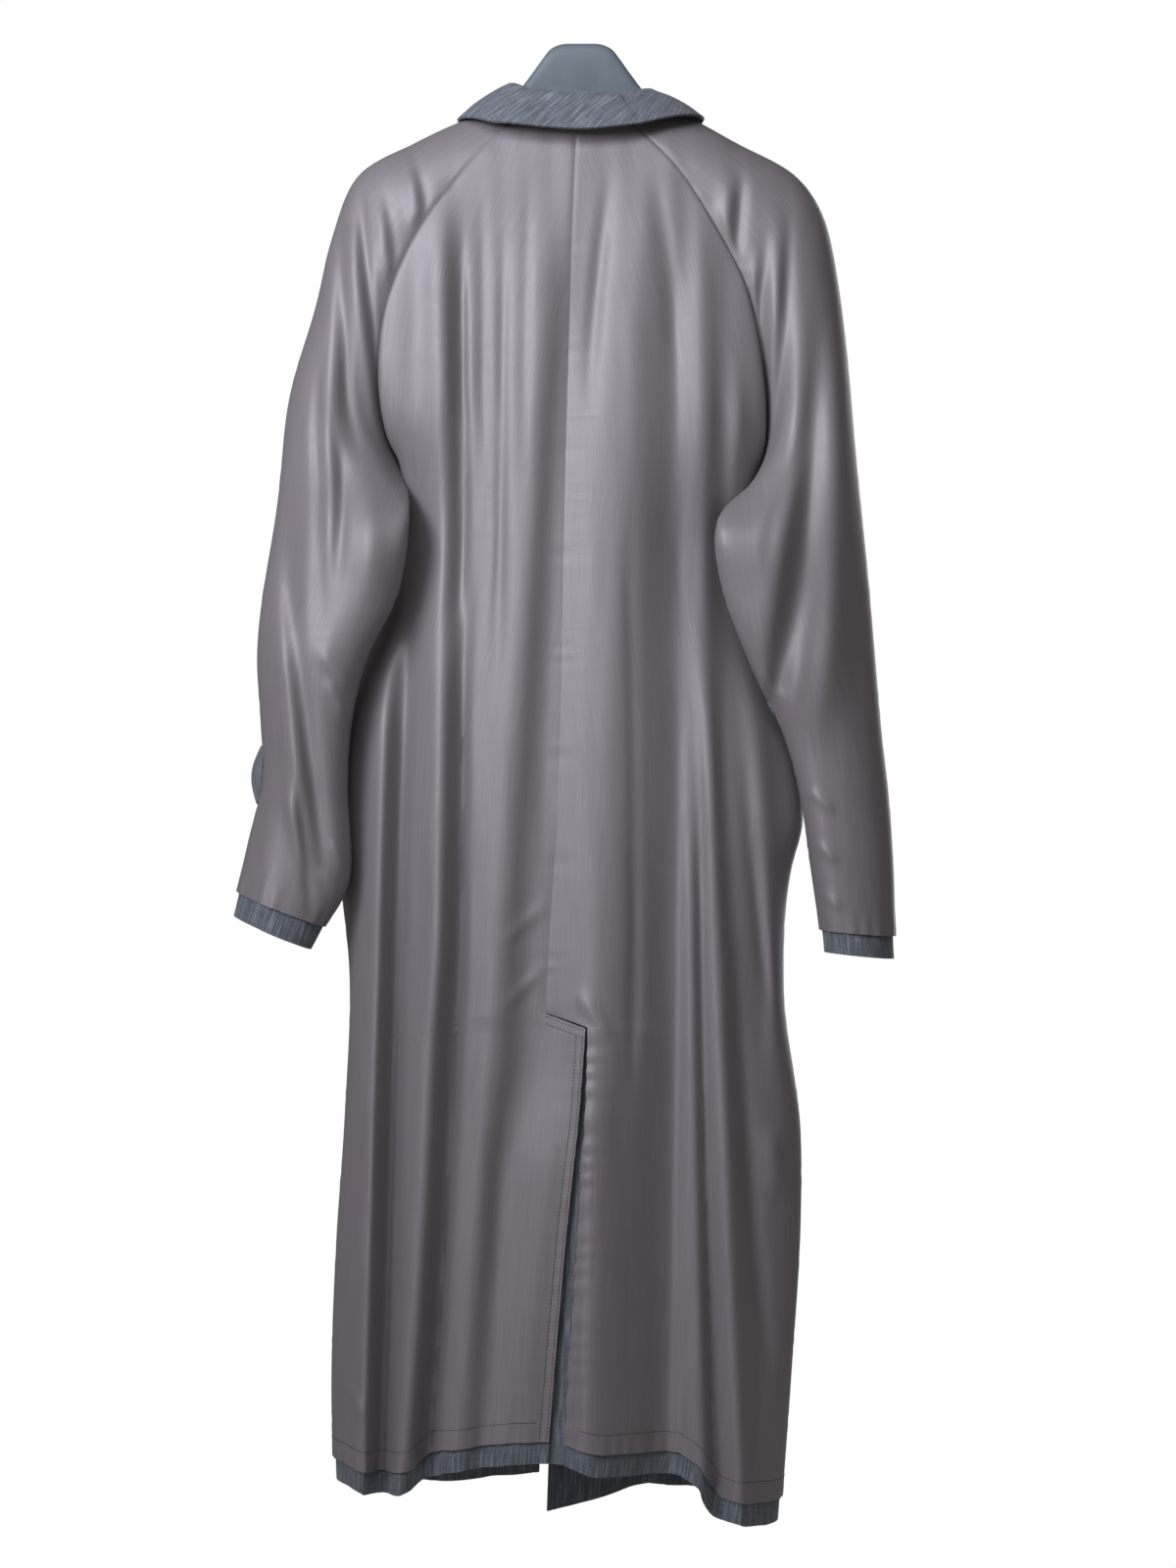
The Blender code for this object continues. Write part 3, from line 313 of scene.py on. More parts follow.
RIGHT_SLEEVE_CREASES = (
    (0.128, 0.438, 0.160, 0.470, 0.005, 0.0035),
    (0.130, 0.468, 0.170, 0.486, 0.005, 0.0030),
    (0.150, 0.560, 0.185, 0.600, 0.006, 0.0035),
    (0.196, 0.668, 0.226, 0.690, 0.004, 0.0025),
    (0.204, 0.715, 0.228, 0.735, 0.004, 0.0025),
    (0.210, 0.758, 0.230, 0.776, 0.004, 0.0020),
)
SLEEVE_CREASES = {
    ("left", BACK): LEFT_SLEEVE_CREASES,
    ("right", BACK): RIGHT_SLEEVE_CREASES,
    ("left", FRONT): (),
    ("right", FRONT): (),
}

# The cloth's slight unevenness: wavelength across and down, lean, height
UNEVENNESS = (
    (0.041, 0.520, 0.4, 0.00022),
    (0.023, 0.330, 2.1, 0.00012),
    (0.067, 0.260, 4.4, 0.00020),
)

UNEVEN_WANDER = 1.4
UNEVEN_LEAN = 3

# How near a seam its two panels move the same way, and the rows over which the raglan seam hands over
# to the side seam, above and below the underarm
SEAM_SHARED = 0.012
SEAM_FADE_ABOVE = 0.05
SEAM_FADE_BELOW = 0.02
# The bend at the underarm is rounded in many small rounds: rows up and down, a round's share, and how far
# from the seam it starts and how soon it is full
UNDERARM_ROUND_ABOVE = 0.22
UNDERARM_ROUND_BELOW = 0.22
UNDERARM_ROUNDS = 160
UNDERARM_ROUND_SHARE = 0.5
UNDERARM_ROUND_START = 0.004
UNDERARM_ROUND_FADE = 0.040
UNDERARM_CALM = 0.14

# A seam's groove and its puckers, which wander and gather over so many of their pitches
GROOVE_WIDTH = 0.0022
PUCKER_REACH = 0.010
PUCKER_WANDER = 1.7
PUCKER_WANDER_PITCHES = 3.3
PUCKER_GROUP_PITCHES = 4.3
# Pitch and phase of each seam's puckers
CENTRE_SEAM = (0.021, 0.5)
SIDE_SEAM = (0.017, 1.1)
FACING_SEAM = (0.023, 0.2)
TOP_SEAM = (0.023, 0.9)
TOP_SEAM_STRENGTH = 0.6

# Waves of the vent's free edges, below the end of the centre back seam
CENTRE_SEAM_FADE = 0.012
VENT_WAVE_PITCH = 0.019
VENT_WAVE_WANDER = 2.0
VENT_WAVE_WANDER_PITCH = 0.083
VENT_WAVE_REACH = 0.012
VENT_WAVE_HEIGHT = {"left": 0.0003, "right": 0.0009}

# Ripple of the lining along its lower edges
RIPPLE_PITCH = 0.017
RIPPLE_WANDER = 1.5
RIPPLE_WANDER_PITCH = 0.061
RIPPLE_HEIGHT = 0.0005
RIPPLE_REACH = 0.016

# Rows and columns of the pieces' grids. Body rows are closest together by the vent's bar.
ROWS_TO_UNDERARM = 90
ROWS_TO_BAR = 130
ROWS_AT_BAR = 12
ROWS_TO_HEM = 106
BAR_MARGIN = 0.001
BACK_COLUMNS = 112
FRONT_COLUMNS = 44
FACING_COLUMNS = 30
FACING_HEM_ROWS = 8
SLEEVE_ROWS = 230
SLEEVE_COLUMNS = {BACK: 72, FRONT: 44}
HEM_ROWS = 26
HEM_RUNS_UNDER = 0.06
CUFF_START = 1.9
CUFF_ROWS = 22
CUFF_COLUMNS = 60
UNDERLAY_ROWS = 110
UNDERLAY_COLUMNS = 22
CLOTH_SHARP_ANGLE = 65

# The collar by angle from the centre back: rise and lean of its stand, spread and drop of its fall
COLLAR_HEAD = ("angle", "rise", "lean", "spread", "drop")
COLLAR = (
    (0, 0.026, 0.002, 0.023, 0.036),
    (45, 0.025, 0.004, 0.030, 0.035),
    (70, 0.022, 0.008, 0.041, 0.034),
    (90, 0.017, 0.011, 0.047, 0.031),
    (130, 0.015, 0.006, 0.034, 0.040),
    (180, 0.012, 0.002, 0.016, 0.058),
)
COLLAR_RIGHT_FALL = 0.007
COLLAR_RIGHT_ANGLE = 80.0
COLLAR_BASE_GAP = 0.0018
COLLAR_ROLL = 0.0032
COLLAR_BOW = 0.002
COLLAR_CENTRE_Y = 0.004
COLLAR_SMOOTHING = 60
COLLAR_ROWS = 44
# Rows by their share of the way from the neck seam to the edge: the stand, the roll, then the fall
COLLAR_PLACES = (0.0, 0.16, 0.34, 0.40, 0.46, 0.62, 0.80, 1.0)
COLLAR_FALL_PARTS = (0.35, 0.65)
COLLAR_FOLD_ROW = 18
COLLAR_BIAS = -42
NECK_HALF_WIDTH = 0.075
NECK_HALF_DEPTH = 0.045
NECK_BODY_POINTS = 30
NECK_SLEEVE_POINTS = 14
NECK_SMOOTHING = 6

# Short strap of wool that bows out from the left sleeve
STRAP_DROPS = (0.630, 0.682)
STRAP_BOW = 0.009
STRAP_HALF_WIDTH = 0.010
STRAP_CLEAR = 0.0006
STRAP_TUCK = 0.0018
STRAP_ROWS = 30
STRAP_COLUMNS = 9

# The hanger's half outline above the collar, then its arms
HUMP = (
    (0.000, 0.000), (0.013, 0.000), (0.022, 0.002), (0.0286, 0.006), (0.034, 0.013), (0.044, 0.027),
    (0.0545, 0.041), (0.064, 0.053),
)
ARM_START = 0.070
ARM_END = 0.188
ARM_CLEAR = 0.0065
ARM_SLEEVE_ROWS = 4
ARM_LINE_POINTS = 25
ARM_BLEND = 0.012
HANGER_RINGS = 26
HANGER_SIDES = 28
HANGER_FACE_POWER = 0.55
HANGER_EDGE_POWER = 0.30
HANGER_SHARP_ANGLE = 50
HANGER_UNDERSIDE = (
    (0.000, 0.097), (0.064, 0.101), (0.110, 0.114), (0.150, 0.134), (0.180, 0.152), (0.188, 0.148),
)
HANGER_HALF_THICKNESS = (
    (0.000, 0.008), (0.064, 0.008), (0.110, 0.012), (0.150, 0.017), (0.180, 0.019), (0.188, 0.012),
)
HOOK_HOLE_RADIUS = 0.0025
HOOK_HOLE_DEPTH = 0.018
HOOK_HOLE_SIDES = 24

# Stitch rows: distances from the vent's edges and from a facing's edge, height above the hem, how far the
# thread stands proud of the cloth, and where the rows along the vent's bar start and end
VENT_STITCHES = (0.0022, 0.0085)
FACING_STITCHES = (0.003, 0.008)
HEM_STITCHES_UP = 0.020
STITCH_PROUD = 0.0001
BAR_STITCH_PROUD = 0.0002
BAR_STITCH_START = 0.001
BAR_STITCH_END = 0.003
BAR_STITCH_POINTS = 40


class CoatSizes(bpy.types.PropertyGroup):
    """Sizes of cloth and thread that a user would change."""

    lining_thickness: bpy.props.FloatProperty(
        name="Lining wall", description="Thickness of the lining with the shell behind it",
        default=0.0016, min=0.0005, max=0.003, precision=4, subtype="DISTANCE", unit="LENGTH",
    )
    wool_thickness: bpy.props.FloatProperty(
        name="Wool wall", description="Thickness of the wool that shows past the lining",
        default=0.0016, min=0.0005, max=0.003, precision=4, subtype="DISTANCE", unit="LENGTH",
    )
    collar_thickness: bpy.props.FloatProperty(
        name="Collar wall", description="Thickness of the folded collar's cloth",
        default=0.0024, min=0.001, max=0.004, precision=4, subtype="DISTANCE", unit="LENGTH",
    )
    layer_gap: bpy.props.FloatProperty(
        name="Layer gap", description="Gap between the lining and the wool under it",
        default=0.0009, min=0.0003, max=0.003, precision=4, subtype="DISTANCE", unit="LENGTH",
    )
    groove_depth: bpy.props.FloatProperty(
        name="Seam groove", description="How far a seam sinks into the cloth",
        default=0.0007, min=0.0, max=0.003, precision=4, subtype="DISTANCE", unit="LENGTH",
    )
    pucker_depth: bpy.props.FloatProperty(
        name="Seam pucker", description="Height of the small puckers along a seam",
        default=0.0004, min=0.0, max=0.002, precision=4, subtype="DISTANCE", unit="LENGTH",
    )
    stitch_length: bpy.props.FloatProperty(
        name="Stitch", description="Length of one stitch that shows",
        default=0.0024, min=0.001, max=0.006, precision=4, subtype="DISTANCE", unit="LENGTH",
    )
    stitch_pitch: bpy.props.FloatProperty(
        name="Stitch pitch", description="Distance from one stitch to the next",
        default=0.0031, min=0.001, max=0.008, precision=4, subtype="DISTANCE", unit="LENGTH",
    )
    thread_radius: bpy.props.FloatProperty(
        name="Thread radius", description="Half the thickness of the sewing thread",
        default=0.00042, min=0.0001, max=0.001, precision=5, subtype="DISTANCE", unit="LENGTH",
    )


class CoatColours(bpy.types.PropertyGroup):
    """Colours that a user would change."""

    lining: bpy.props.FloatVectorProperty(
        name="Lining", description="Satin of the lining", subtype="COLOR", size=3,
        default=(0.330, 0.306, 0.326), min=0.0, max=1.0,
    )
    lining_shade: bpy.props.FloatVectorProperty(
        name="Lining shade", description="Darker threads of the satin", subtype="COLOR", size=3,
        default=(0.275, 0.252, 0.266), min=0.0, max=1.0,
    )
    wool: bpy.props.FloatVectorProperty(
        name="Wool", description="Ground of the slubbed wool", subtype="COLOR", size=3,
        default=(0.122, 0.140, 0.162), min=0.0, max=1.0,
    )
    wool_slub: bpy.props.FloatVectorProperty(
        name="Wool slub", description="Pale slubs of the wool", subtype="COLOR", size=3,
        default=(0.330, 0.365, 0.410), min=0.0, max=1.0,
    )
    thread: bpy.props.FloatVectorProperty(
        name="Thread", description="Sewing thread", subtype="COLOR", size=3,
        default=(0.110, 0.098, 0.106), min=0.0, max=1.0,
    )
    hanger: bpy.props.FloatVectorProperty(
        name="Hanger", description="Matt moulding of the hanger", subtype="COLOR", size=3,
        default=(0.130, 0.168, 0.190), min=0.0, max=1.0,
    )
    floor: bpy.props.FloatVectorProperty(
        name="Floor", description="Pale studio floor", subtype="COLOR", size=3,
        default=(0.86, 0.86, 0.86), min=0.0, max=1.0,
    )


def sizes():
    return bpy.context.scene.coat_sizes


def colours():
    return bpy.context.scene.coat_colours


def curve(keys, values, at):
    """Smooth curve through a table's rows, read at the given keys."""
    keys = np.asarray(keys, float)
    values = np.asarray(values, float)
    slope = np.gradient(values, keys)
    row = np.clip(np.searchsorted(keys, at, side="right") - 1, 0, len(keys) - 2)
    width = keys[row + 1] - keys[row]
    f = (at - keys[row]) / width
    start = (1 + 2 * f) * (1 - f) ** 2 * values[row] + f * (1 - f) ** 2 * width * slope[row]
    end = f * f * (3 - 2 * f) * values[row + 1] + f * f * (f - 1) * width * slope[row + 1]
    return start + end


def column(table, number):
    return [row[number] for row in table]


def along(table, at, number=1):
    """Smooth reading of a table by its first column."""
    return curve(column(table, 0), column(table, number), at)


def straight(table, at):
    """Straight-line reading of a two-column table."""
    return np.interp(at, column(table, 0), column(table, 1))


def ease(f):
    f = np.clip(f, 0.0, 1.0)
    return f * f * (3 - 2 * f)


def fold_height(folds, x, drop):
    """How far the folds lift the cloth at a place."""
    height = np.zeros(np.broadcast(x, drop).shape)
    for row in folds:
        fold = dict(zip(FOLD_HEAD, row))
        d0, d1, d2 = fold["d0"], fold["d1"], fold["d2"]
        path = (
            fold["x0"] * (drop - d1) * (drop - d2) / ((d0 - d1) * (d0 - d2))
            + fold["x1"] * (drop - d0) * (drop - d2) / ((d1 - d0) * (d1 - d2))
            + fold["x2"] * (drop - d0) * (drop - d1) / ((d2 - d0) * (d2 - d1))
        )
        away = x - path
        width = np.where(away < 0, fold["left"], fold["right"])
        fade = min(FOLD_FADE, FOLD_FADE_SHARE * (d2 - d0))
        ends = ease((drop - d0) / fade) * ease((d2 - drop) / fade)
        height = height + fold["height"] * ends * np.exp(-((away / width) ** 2))
    return height


def crease_height(creases, x, drop):
    """How far the short creases lift the cloth at a place."""
    height = np.zeros(np.broadcast(x, drop).shape)
    for row in creases:
        crease = dict(zip(CREASE_HEAD, row))
        run_x, run_d = crease["x1"] - crease["x0"], crease["d1"] - crease["d0"]
        length = math.hypot(run_x, run_d)
        share = ((x - crease["x0"]) * run_x + (drop - crease["d0"]) * run_d) / length**2
        away = ((x - crease["x0"]) * run_d - (drop - crease["d0"]) * run_x) / length
        ends = ease(share / CREASE_FADE) * ease((1 - share) / CREASE_FADE)
        height = height + crease["height"] * ends * np.exp(-((away / crease["width"]) ** 2))
    return height


def unevenness(x, drop):
    """Slow waves that keep the cloth from looking ironed."""
    height = np.zeros(np.broadcast(x, drop).shape)
    for across, down, lean, size in UNEVENNESS:
        bend = np.sin(math.tau * drop / down + lean)
        height = height + size * np.sin(math.tau * x / across + UNEVEN_WANDER * bend + lean * UNEVEN_LEAN)
    return height


def sleeve_row(side, s):
    """A sleeve's section at s: 0 at the neck, 1 at the underarm, 2 at the lining's edge."""
    table = SLEEVES[side]
    keys = [number / UNDERARM_ROW for number in range(len(table))]
    row = {name: curve(keys, column(table, n), s) for n, name in enumerate(SLEEVE_HEAD)}
    row["wrap"] = np.where(s >= 1.0, math.pi, np.radians(np.minimum(row["wrap"], 180.0)))
    row["seam_y"] = np.where(s <= 1.0, 0.0, row["seam_y"])
    row["top_y"] = np.where(s <= 1.0, 0.0, row["top_y"])
    return row


def sleeve_point(side, face, s, q):
    """Sleeve surface: q runs from 0 on the top line to 1 at the seam, on one face."""
    row = sleeve_row(side, s)
    angle = q * row["wrap"]
    share = (1 - np.cos(angle)) / (1 - np.cos(row["wrap"]))
    x = row["top_x"] + (row["seam_x"] - row["top_x"]) * share
    drop = row["top_drop"] + (row["seam_drop"] - row["top_drop"]) * share
    y = row["top_y"] + (row["seam_y"] - row["top_y"]) * share + face * row["half_depth"] * np.sin(angle)
    calm = ease(q / SEAM_CALM) * ease((1 - q) / SEAM_CALM)
    lift = fold_height(SLEEVE_FOLDS[side, face], x, drop)
    lift = lift + crease_height(SLEEVE_CREASES[side, face], x, drop) + unevenness(x, drop)
    return np.stack([x, y + face * calm * lift, -drop], axis=-1)


def centre_x(side, face, drop):
    """The edge of a body panel at the centre back or the centre front."""
    if face == FRONT:
        return along(CENTRE_FRONT, drop) + OUTWARD[side] * FRONT_GAP / 2
    if side == "left":
        return straight(CENTRE_BACK + LEFT_VENT_EDGE, drop)
    return straight(CENTRE_BACK + RIGHT_VENT_EDGE, drop + VENT_BAR_GAP * (drop > VENT_TOP - VENT_BAR_GAP))


def across_x(side, face, drop, edge_x, t):
    """Where a column lies between the centre and the side.

    Only the columns near a vent's edge follow its jump at the bar.
    """
    middle = centre_x(side, face, drop)
    calm = middle if face == FRONT else straight(CENTRE_BACK + CENTRE_BELOW_VENT, drop)
    jump = (middle - calm) * np.clip(1 - t / VENT_EASE, 0.0, 1.0) ** 2
    return calm + (edge_x - calm) * np.sin(t * math.pi / 2) ** SQUARENESS + jump


def hem_drop(side, face, x):
    if face == BACK:
        return straight(BACK_HEM, x)
    return straight(LEFT_FRONT_HEM if side == "left" else RIGHT_FRONT_HEM, x)


def body_point(side, face, r, t):
    """Body surface at r down the panel and t across it.

    r is 0 at the neck, 1 at the underarm and 2 at the lining's hem. t is 0 at the centre and 1 at the side.
    """
    r, t = np.broadcast_arrays(r, t)
    bend = t * math.pi / 2
    across = np.sin(bend) ** SQUARENESS
    bulge = np.clip(np.cos(bend), 0.0, 1.0) ** SQUARENESS
    upper = np.minimum(r, 1.0)
    seam = sleeve_point(side, face, upper, np.ones_like(t))
    neck = BACK_NECK_DROP if face == BACK else FRONT_NECK_DROP
    middle = neck + (UNDERARM_DROP - neck) * upper
    drop = middle + (-seam[..., 2] - middle) * across**2
    hem_x = across_x(side, face, HEM_LEVEL, along(SIDES[side], HEM_LEVEL), t)
    lower = np.maximum(r - 1.0, 0.0)
    side_drop = -seam[..., 2] + (hem_drop(side, face, OUTWARD[side]) + seam[..., 2]) * lower
    middle = middle + (hem_drop(side, face, centre_x(side, face, HEM_LEVEL)) - middle) * lower
    drop = drop + (hem_drop(side, face, hem_x) - drop) * lower
    edge_x = np.where(r > 1.0, along(SIDES[side], side_drop), seam[..., 0])
    edge_y = np.where(r > 1.0, along(SIDES[side], side_drop, 2), seam[..., 1])
    x = across_x(side, face, middle, edge_x, t)
    depth = along(BODY_DEPTH, drop, 1 if face == BACK else 2)
    reach = np.where(r < PRESS_ROW, PRESS_ABOVE, PRESS_BELOW)
    flat = FLAT * ease((r - FLAT_START) / (FLAT_END - FLAT_START)) * ease((1.0 + FLAT_FADE - r) / FLAT_FADE)
    bulge = bulge ** (1 - flat + PRESS * np.exp(-(((r - PRESS_ROW) / reach) ** 2)))
    y = edge_y + (face * depth - edge_y) * bulge
    lift = fold_height(BODY_FOLDS[face], x, drop) * along(FOLD_GROWTH, drop)
    lift = lift + crease_height(BODY_CREASES[face], x, drop) + unevenness(x, drop)
    y = y + face * ease((1 - t) / SEAM_CALM) * lift
    return np.stack([x, y, -drop], axis=-1)


def grid_normals(points, outward):
    """Unit normals of a grid of points, on the side that the given direction points to."""
    normal = np.cross(np.gradient(points, axis=1), np.gradient(points, axis=0))
    normal = normal / np.maximum(np.linalg.norm(normal, axis=-1, keepdims=True), 1e-12)
    return normal if (normal * outward).sum() > 0 else -normal


def edge_distances(points):
    """How far each point of a grid lies from the first and from the last column, along its row."""
    step = np.linalg.norm(np.diff(points, axis=1), axis=-1)
    start = np.concatenate([np.zeros((len(points), 1)), np.cumsum(step, axis=1)], axis=1)
    return start, start[:, -1:] - start


def down_distances(points):
    """How far each point of a grid lies from the first row, along its column."""
    step = np.linalg.norm(np.diff(points, axis=0), axis=-1)
    return np.concatenate([np.zeros((1, points.shape[1])), np.cumsum(step, axis=0)], axis=0)


def seam_relief(distance, down, strength, pitch, phase):
    """The groove of a seam and the puckers that run out from it."""
    groove = -sizes().groove_depth * np.exp(-((distance / GROOVE_WIDTH) ** 2))
    wander = PUCKER_WANDER * np.sin(math.tau * down / (pitch * PUCKER_WANDER_PITCHES) + phase)
    wave = np.sin(math.tau * down / pitch + wander)
    size = np.clip(np.sin(math.tau * down / (pitch * PUCKER_GROUP_PITCHES) + phase * 2), 0.0, 1.0) ** 2
    pucker = sizes().pucker_depth * wave * size * np.exp(-distance / PUCKER_REACH)
    return strength * (groove + pucker)


def shared_way(points, face, seams):
    """Which way relief moves each point: along the normal, and at a seam the way both its panels share.

    seams holds each seam's distance, the share of each row where it applies, and its way.
    """
    way = grid_normals(points, (0.0, face, 0.0))
    for distance, share, seam_way in seams:
        weight = (np.exp(-((distance / SEAM_SHARED) ** 2)) * share)[..., None]
        way = way + (np.asarray(seam_way, float) - way) * weight
    return way


def underarm_calm(rows):
    """Share of a seam's relief by row. There is none at the underarm, where four panels meet."""
    return 1 - np.exp(-(((rows - 1.0) / UNDERARM_CALM) ** 2))


def round_underarm(points, rows, distance):
    """Rounds the bend at the underarm's row, except close to the seam."""
    reach = np.where(rows < 1.0, UNDERARM_ROUND_ABOVE, UNDERARM_ROUND_BELOW)
    near = np.exp(-(((rows - 1.0) / reach) ** 2))
    weight = UNDERARM_ROUND_SHARE * near * ease((distance - UNDERARM_ROUND_START) / UNDERARM_ROUND_FADE)
    weight = weight[1:-1, :, None]
    for _ in range(UNDERARM_ROUNDS):
        points[1:-1] += weight * ((points[:-2] + points[2:]) / 2 - points[1:-1])
    return points


def put_in_scene(name, data):
    """A new object that holds a mesh, a light or a camera."""
    thing = bpy.data.objects.new(name, data)
    bpy.context.scene.collection.objects.link(thing)
    return thing


def add_wall(name, outer, normal, thickness, materials, uv):
    """A closed cloth wall: its outer face and rim have the first material, its inner face the last."""
    rows, columns = outer.shape[:2]
    inner = outer - normal * thickness
    points = np.concatenate([outer.reshape(-1, 3), inner.reshape(-1, 3)])
    number = np.arange(rows * columns).reshape(rows, columns)
    a, b = number[:-1, :-1].ravel(), number[:-1, 1:].ravel()
    c, d = number[1:, 1:].ravel(), number[1:, :-1].ravel()
    top = np.stack([a, b, c, d], axis=1)
    first = points[top[:, 0]]
    facing = np.cross(points[top[:, 1]] - first, points[top[:, 3]] - first)
    if (facing * normal.reshape(-1, 3)[top[:, 0]]).sum() < 0:
        top = top[:, ::-1]
    under = top[:, ::-1] + rows * columns
    rim = np.concatenate([number[0, :], number[1:, -1], number[-1, -2::-1], number[-2:0:-1, 0]])
    following = np.roll(rim, -1)
    side = np.stack([rim, following, following + rows * columns, rim + rows * columns], axis=1)
    edges = {(int(p), int(q)) for p, q in zip(top.ravel(), np.roll(top, -1, axis=1).ravel())}
    if (int(rim[0]), int(rim[1])) in edges:
        side = side[:, ::-1]
    faces = np.concatenate([top, under, side])
    mesh = bpy.data.meshes.new(name)
    mesh.from_pydata(points.tolist(), [], faces.tolist())
    for material in materials:
        mesh.materials.append(material)
    finish = np.zeros(len(faces), np.int32)
    finish[len(top):2 * len(top)] = len(materials) - 1
    mesh.polygons.foreach_set("material_index", finish)
    layer = mesh.uv_layers.new(name="cloth")
    both = np.concatenate([uv.reshape(-1, 2), uv.reshape(-1, 2)])
    layer.data.foreach_set("uv", both[faces.ravel()].astype(np.float32).ravel())
    mesh.shade_smooth()
    mesh.set_sharp_from_angle(angle=math.radians(CLOTH_SHARP_ANGLE))
    return put_in_scene(name, mesh)


def declare(thing, node):
    """Ties a cloth piece to the root, and hides the solid that it stands for."""
    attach(thing, "root")
    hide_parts(node)


def cloth_uv(outer):
    """Metres across and down the cloth."""
    start, _ = edge_distances(outer)
    return np.stack([start - start[:, -1:] / 2, down_distances(outer)], axis=-1)


def add_lining(name, node, outer, face):
    """A lining panel: satin outside, and the wool shell's right side inside."""
    normal = grid_normals(outer, (0.0, face, 0.0))
    materials = (satin_material(), wool_material())
    thing = add_wall(name, outer, normal, sizes().lining_thickness, materials, cloth_uv(outer))
    declare(thing, node)


def add_wool(name, node, outer, normal):
    """A piece of the wool that shows."""
    thing = add_wall(name, outer, normal, sizes().wool_thickness, (wool_material(),), cloth_uv(outer))
    declare(thing, node)


def body_rows():
    """Rows from neck to hem, closer together at the vent's bar."""
    hem = straight(BACK_HEM, MIDDLE_OF_HEM)
    bar_drops = (VENT_TOP - BAR_MARGIN, VENT_BAR_END + BAR_MARGIN)
    bar = [1 + (drop - UNDERARM_DROP) / (hem - UNDERARM_DROP) for drop in bar_drops]
    return np.concatenate([
        np.linspace(0.0, 1.0, ROWS_TO_UNDERARM, endpoint=False),
        np.linspace(1.0, bar[0], ROWS_TO_BAR, endpoint=False),
        np.linspace(bar[0], bar[1], ROWS_AT_BAR, endpoint=False),
        np.linspace(bar[1], 2.0, ROWS_TO_HEM),
    ]).reshape(-1, 1)


def steps_across(count, start=0.0, end=1.0):
    """Even steps across a grid."""
    return np.linspace(start, end, count).reshape(1, -1)


def front_split(rows):
    """Where the facing ends on each row of a front."""
    return np.interp(rows, (0.0, 1.0, 2.0), FACING_SHARE)


def facing_calm(rows):
    """Share of the facing seam's relief by row. There is none where the hem lies under the facing."""
    return ease((HEM_TUCK_ROW - rows) / HEM_TUCK_FADE)


def hem_end():
    """The row at the lower edge of the wool hem."""
    return 2.0 + HEM_SHOWS / (HEM_LEVEL - UNDERARM_DROP)


def hem_ripple(up, across):
    """Slight waves along a lower edge, by the distance up from it and the distance across."""
    wander = RIPPLE_WANDER * np.sin(math.tau * across / RIPPLE_WANDER_PITCH)
    wave = np.sin(math.tau * across / RIPPLE_PITCH + wander)
    return RIPPLE_HEIGHT * wave * np.exp(-((up / RIPPLE_REACH) ** 2))


def panel_seams(outward, face, rows, distance):
    """A panel's raglan seam above the underarm, and its side or inner seam below it."""
    upper = np.clip((1.0 - rows) / SEAM_FADE_ABOVE, 0.0, 1.0)
    lower = np.clip((rows - 1.0) / SEAM_FADE_BELOW, 0.0, 1.0)
    return [(distance, upper, (0.0, face, 0.0)), (distance, lower, (outward, 0.0, 0.0))]


def back_grid(side):
    """Points of a half back with its seams, puckers and hem."""
    rows = body_rows()
    outer = body_point(side, BACK, rows, steps_across(BACK_COLUMNS))
    outer = round_underarm(outer, rows, edge_distances(outer)[1])
    start, end = edge_distances(outer)
    drop = -outer[..., 2]
    above_vent = ease((VENT_TOP - drop) / CENTRE_SEAM_FADE)
    relief = seam_relief(start, drop, above_vent, *CENTRE_SEAM)
    relief = relief + seam_relief(end, drop, underarm_calm(rows), *SIDE_SEAM)
    wander = VENT_WAVE_WANDER * np.sin(math.tau * drop / VENT_WAVE_WANDER_PITCH)
    wave = np.sin(math.tau * drop / VENT_WAVE_PITCH + wander)
    relief = relief + (1 - above_vent) * VENT_WAVE_HEIGHT[side] * wave * np.exp(-start / VENT_WAVE_REACH)
    relief = relief + hem_ripple(down_distances(outer[::-1])[::-1], start)
    seams = panel_seams(OUTWARD[side], BACK, rows, end) + [(start, above_vent, (0.0, BACK, 0.0))]
    return outer + shared_way(outer, BACK, seams) * relief[..., None]


def build_half_backs():
    for side in SIDE_NAMES:
        add_lining("back_lining_" + side, "lining_back_" + side, back_grid(side), BACK)


def build_half_fronts():
    rows = body_rows()
    split = front_split(rows)
    for side in SIDE_NAMES:
        t = split + (1 - split) * steps_across(FRONT_COLUMNS)
        outer = body_point(side, FRONT, rows, t)
        outer = round_underarm(outer, rows, edge_distances(outer)[1])
        start, end = edge_distances(outer)
        drop = -outer[..., 2]
        relief = seam_relief(start, drop, facing_calm(rows), *FACING_SEAM)
        relief = relief + seam_relief(end, drop, underarm_calm(rows), *SIDE_SEAM)
        relief = relief + hem_ripple(down_distances(outer[::-1])[::-1], start)
        way = shared_way(outer, FRONT, panel_seams(OUTWARD[side], FRONT, rows, end))
        outer = outer + way * relief[..., None]
        add_lining("front_lining_" + side, "lining_front_" + side, outer, FRONT)


def facing_grid(side):
    """Points of a facing, from the neck to the wool's lower edge."""
    lowest = np.linspace(2.0, hem_end(), FACING_HEM_ROWS)[1:]
    rows = np.concatenate([body_rows(), lowest.reshape(-1, 1)])
    outer = body_point(side, FRONT, rows, front_split(rows) * steps_across(FACING_COLUMNS))
    outer = round_underarm(outer, rows, np.full(outer.shape[:2], 1.0))
    _, end = edge_distances(outer)
    relief = seam_relief(end, -outer[..., 2], facing_calm(rows), *FACING_SEAM)
    return outer + grid_normals(outer, (0.0, FRONT, 0.0)) * relief[..., None]


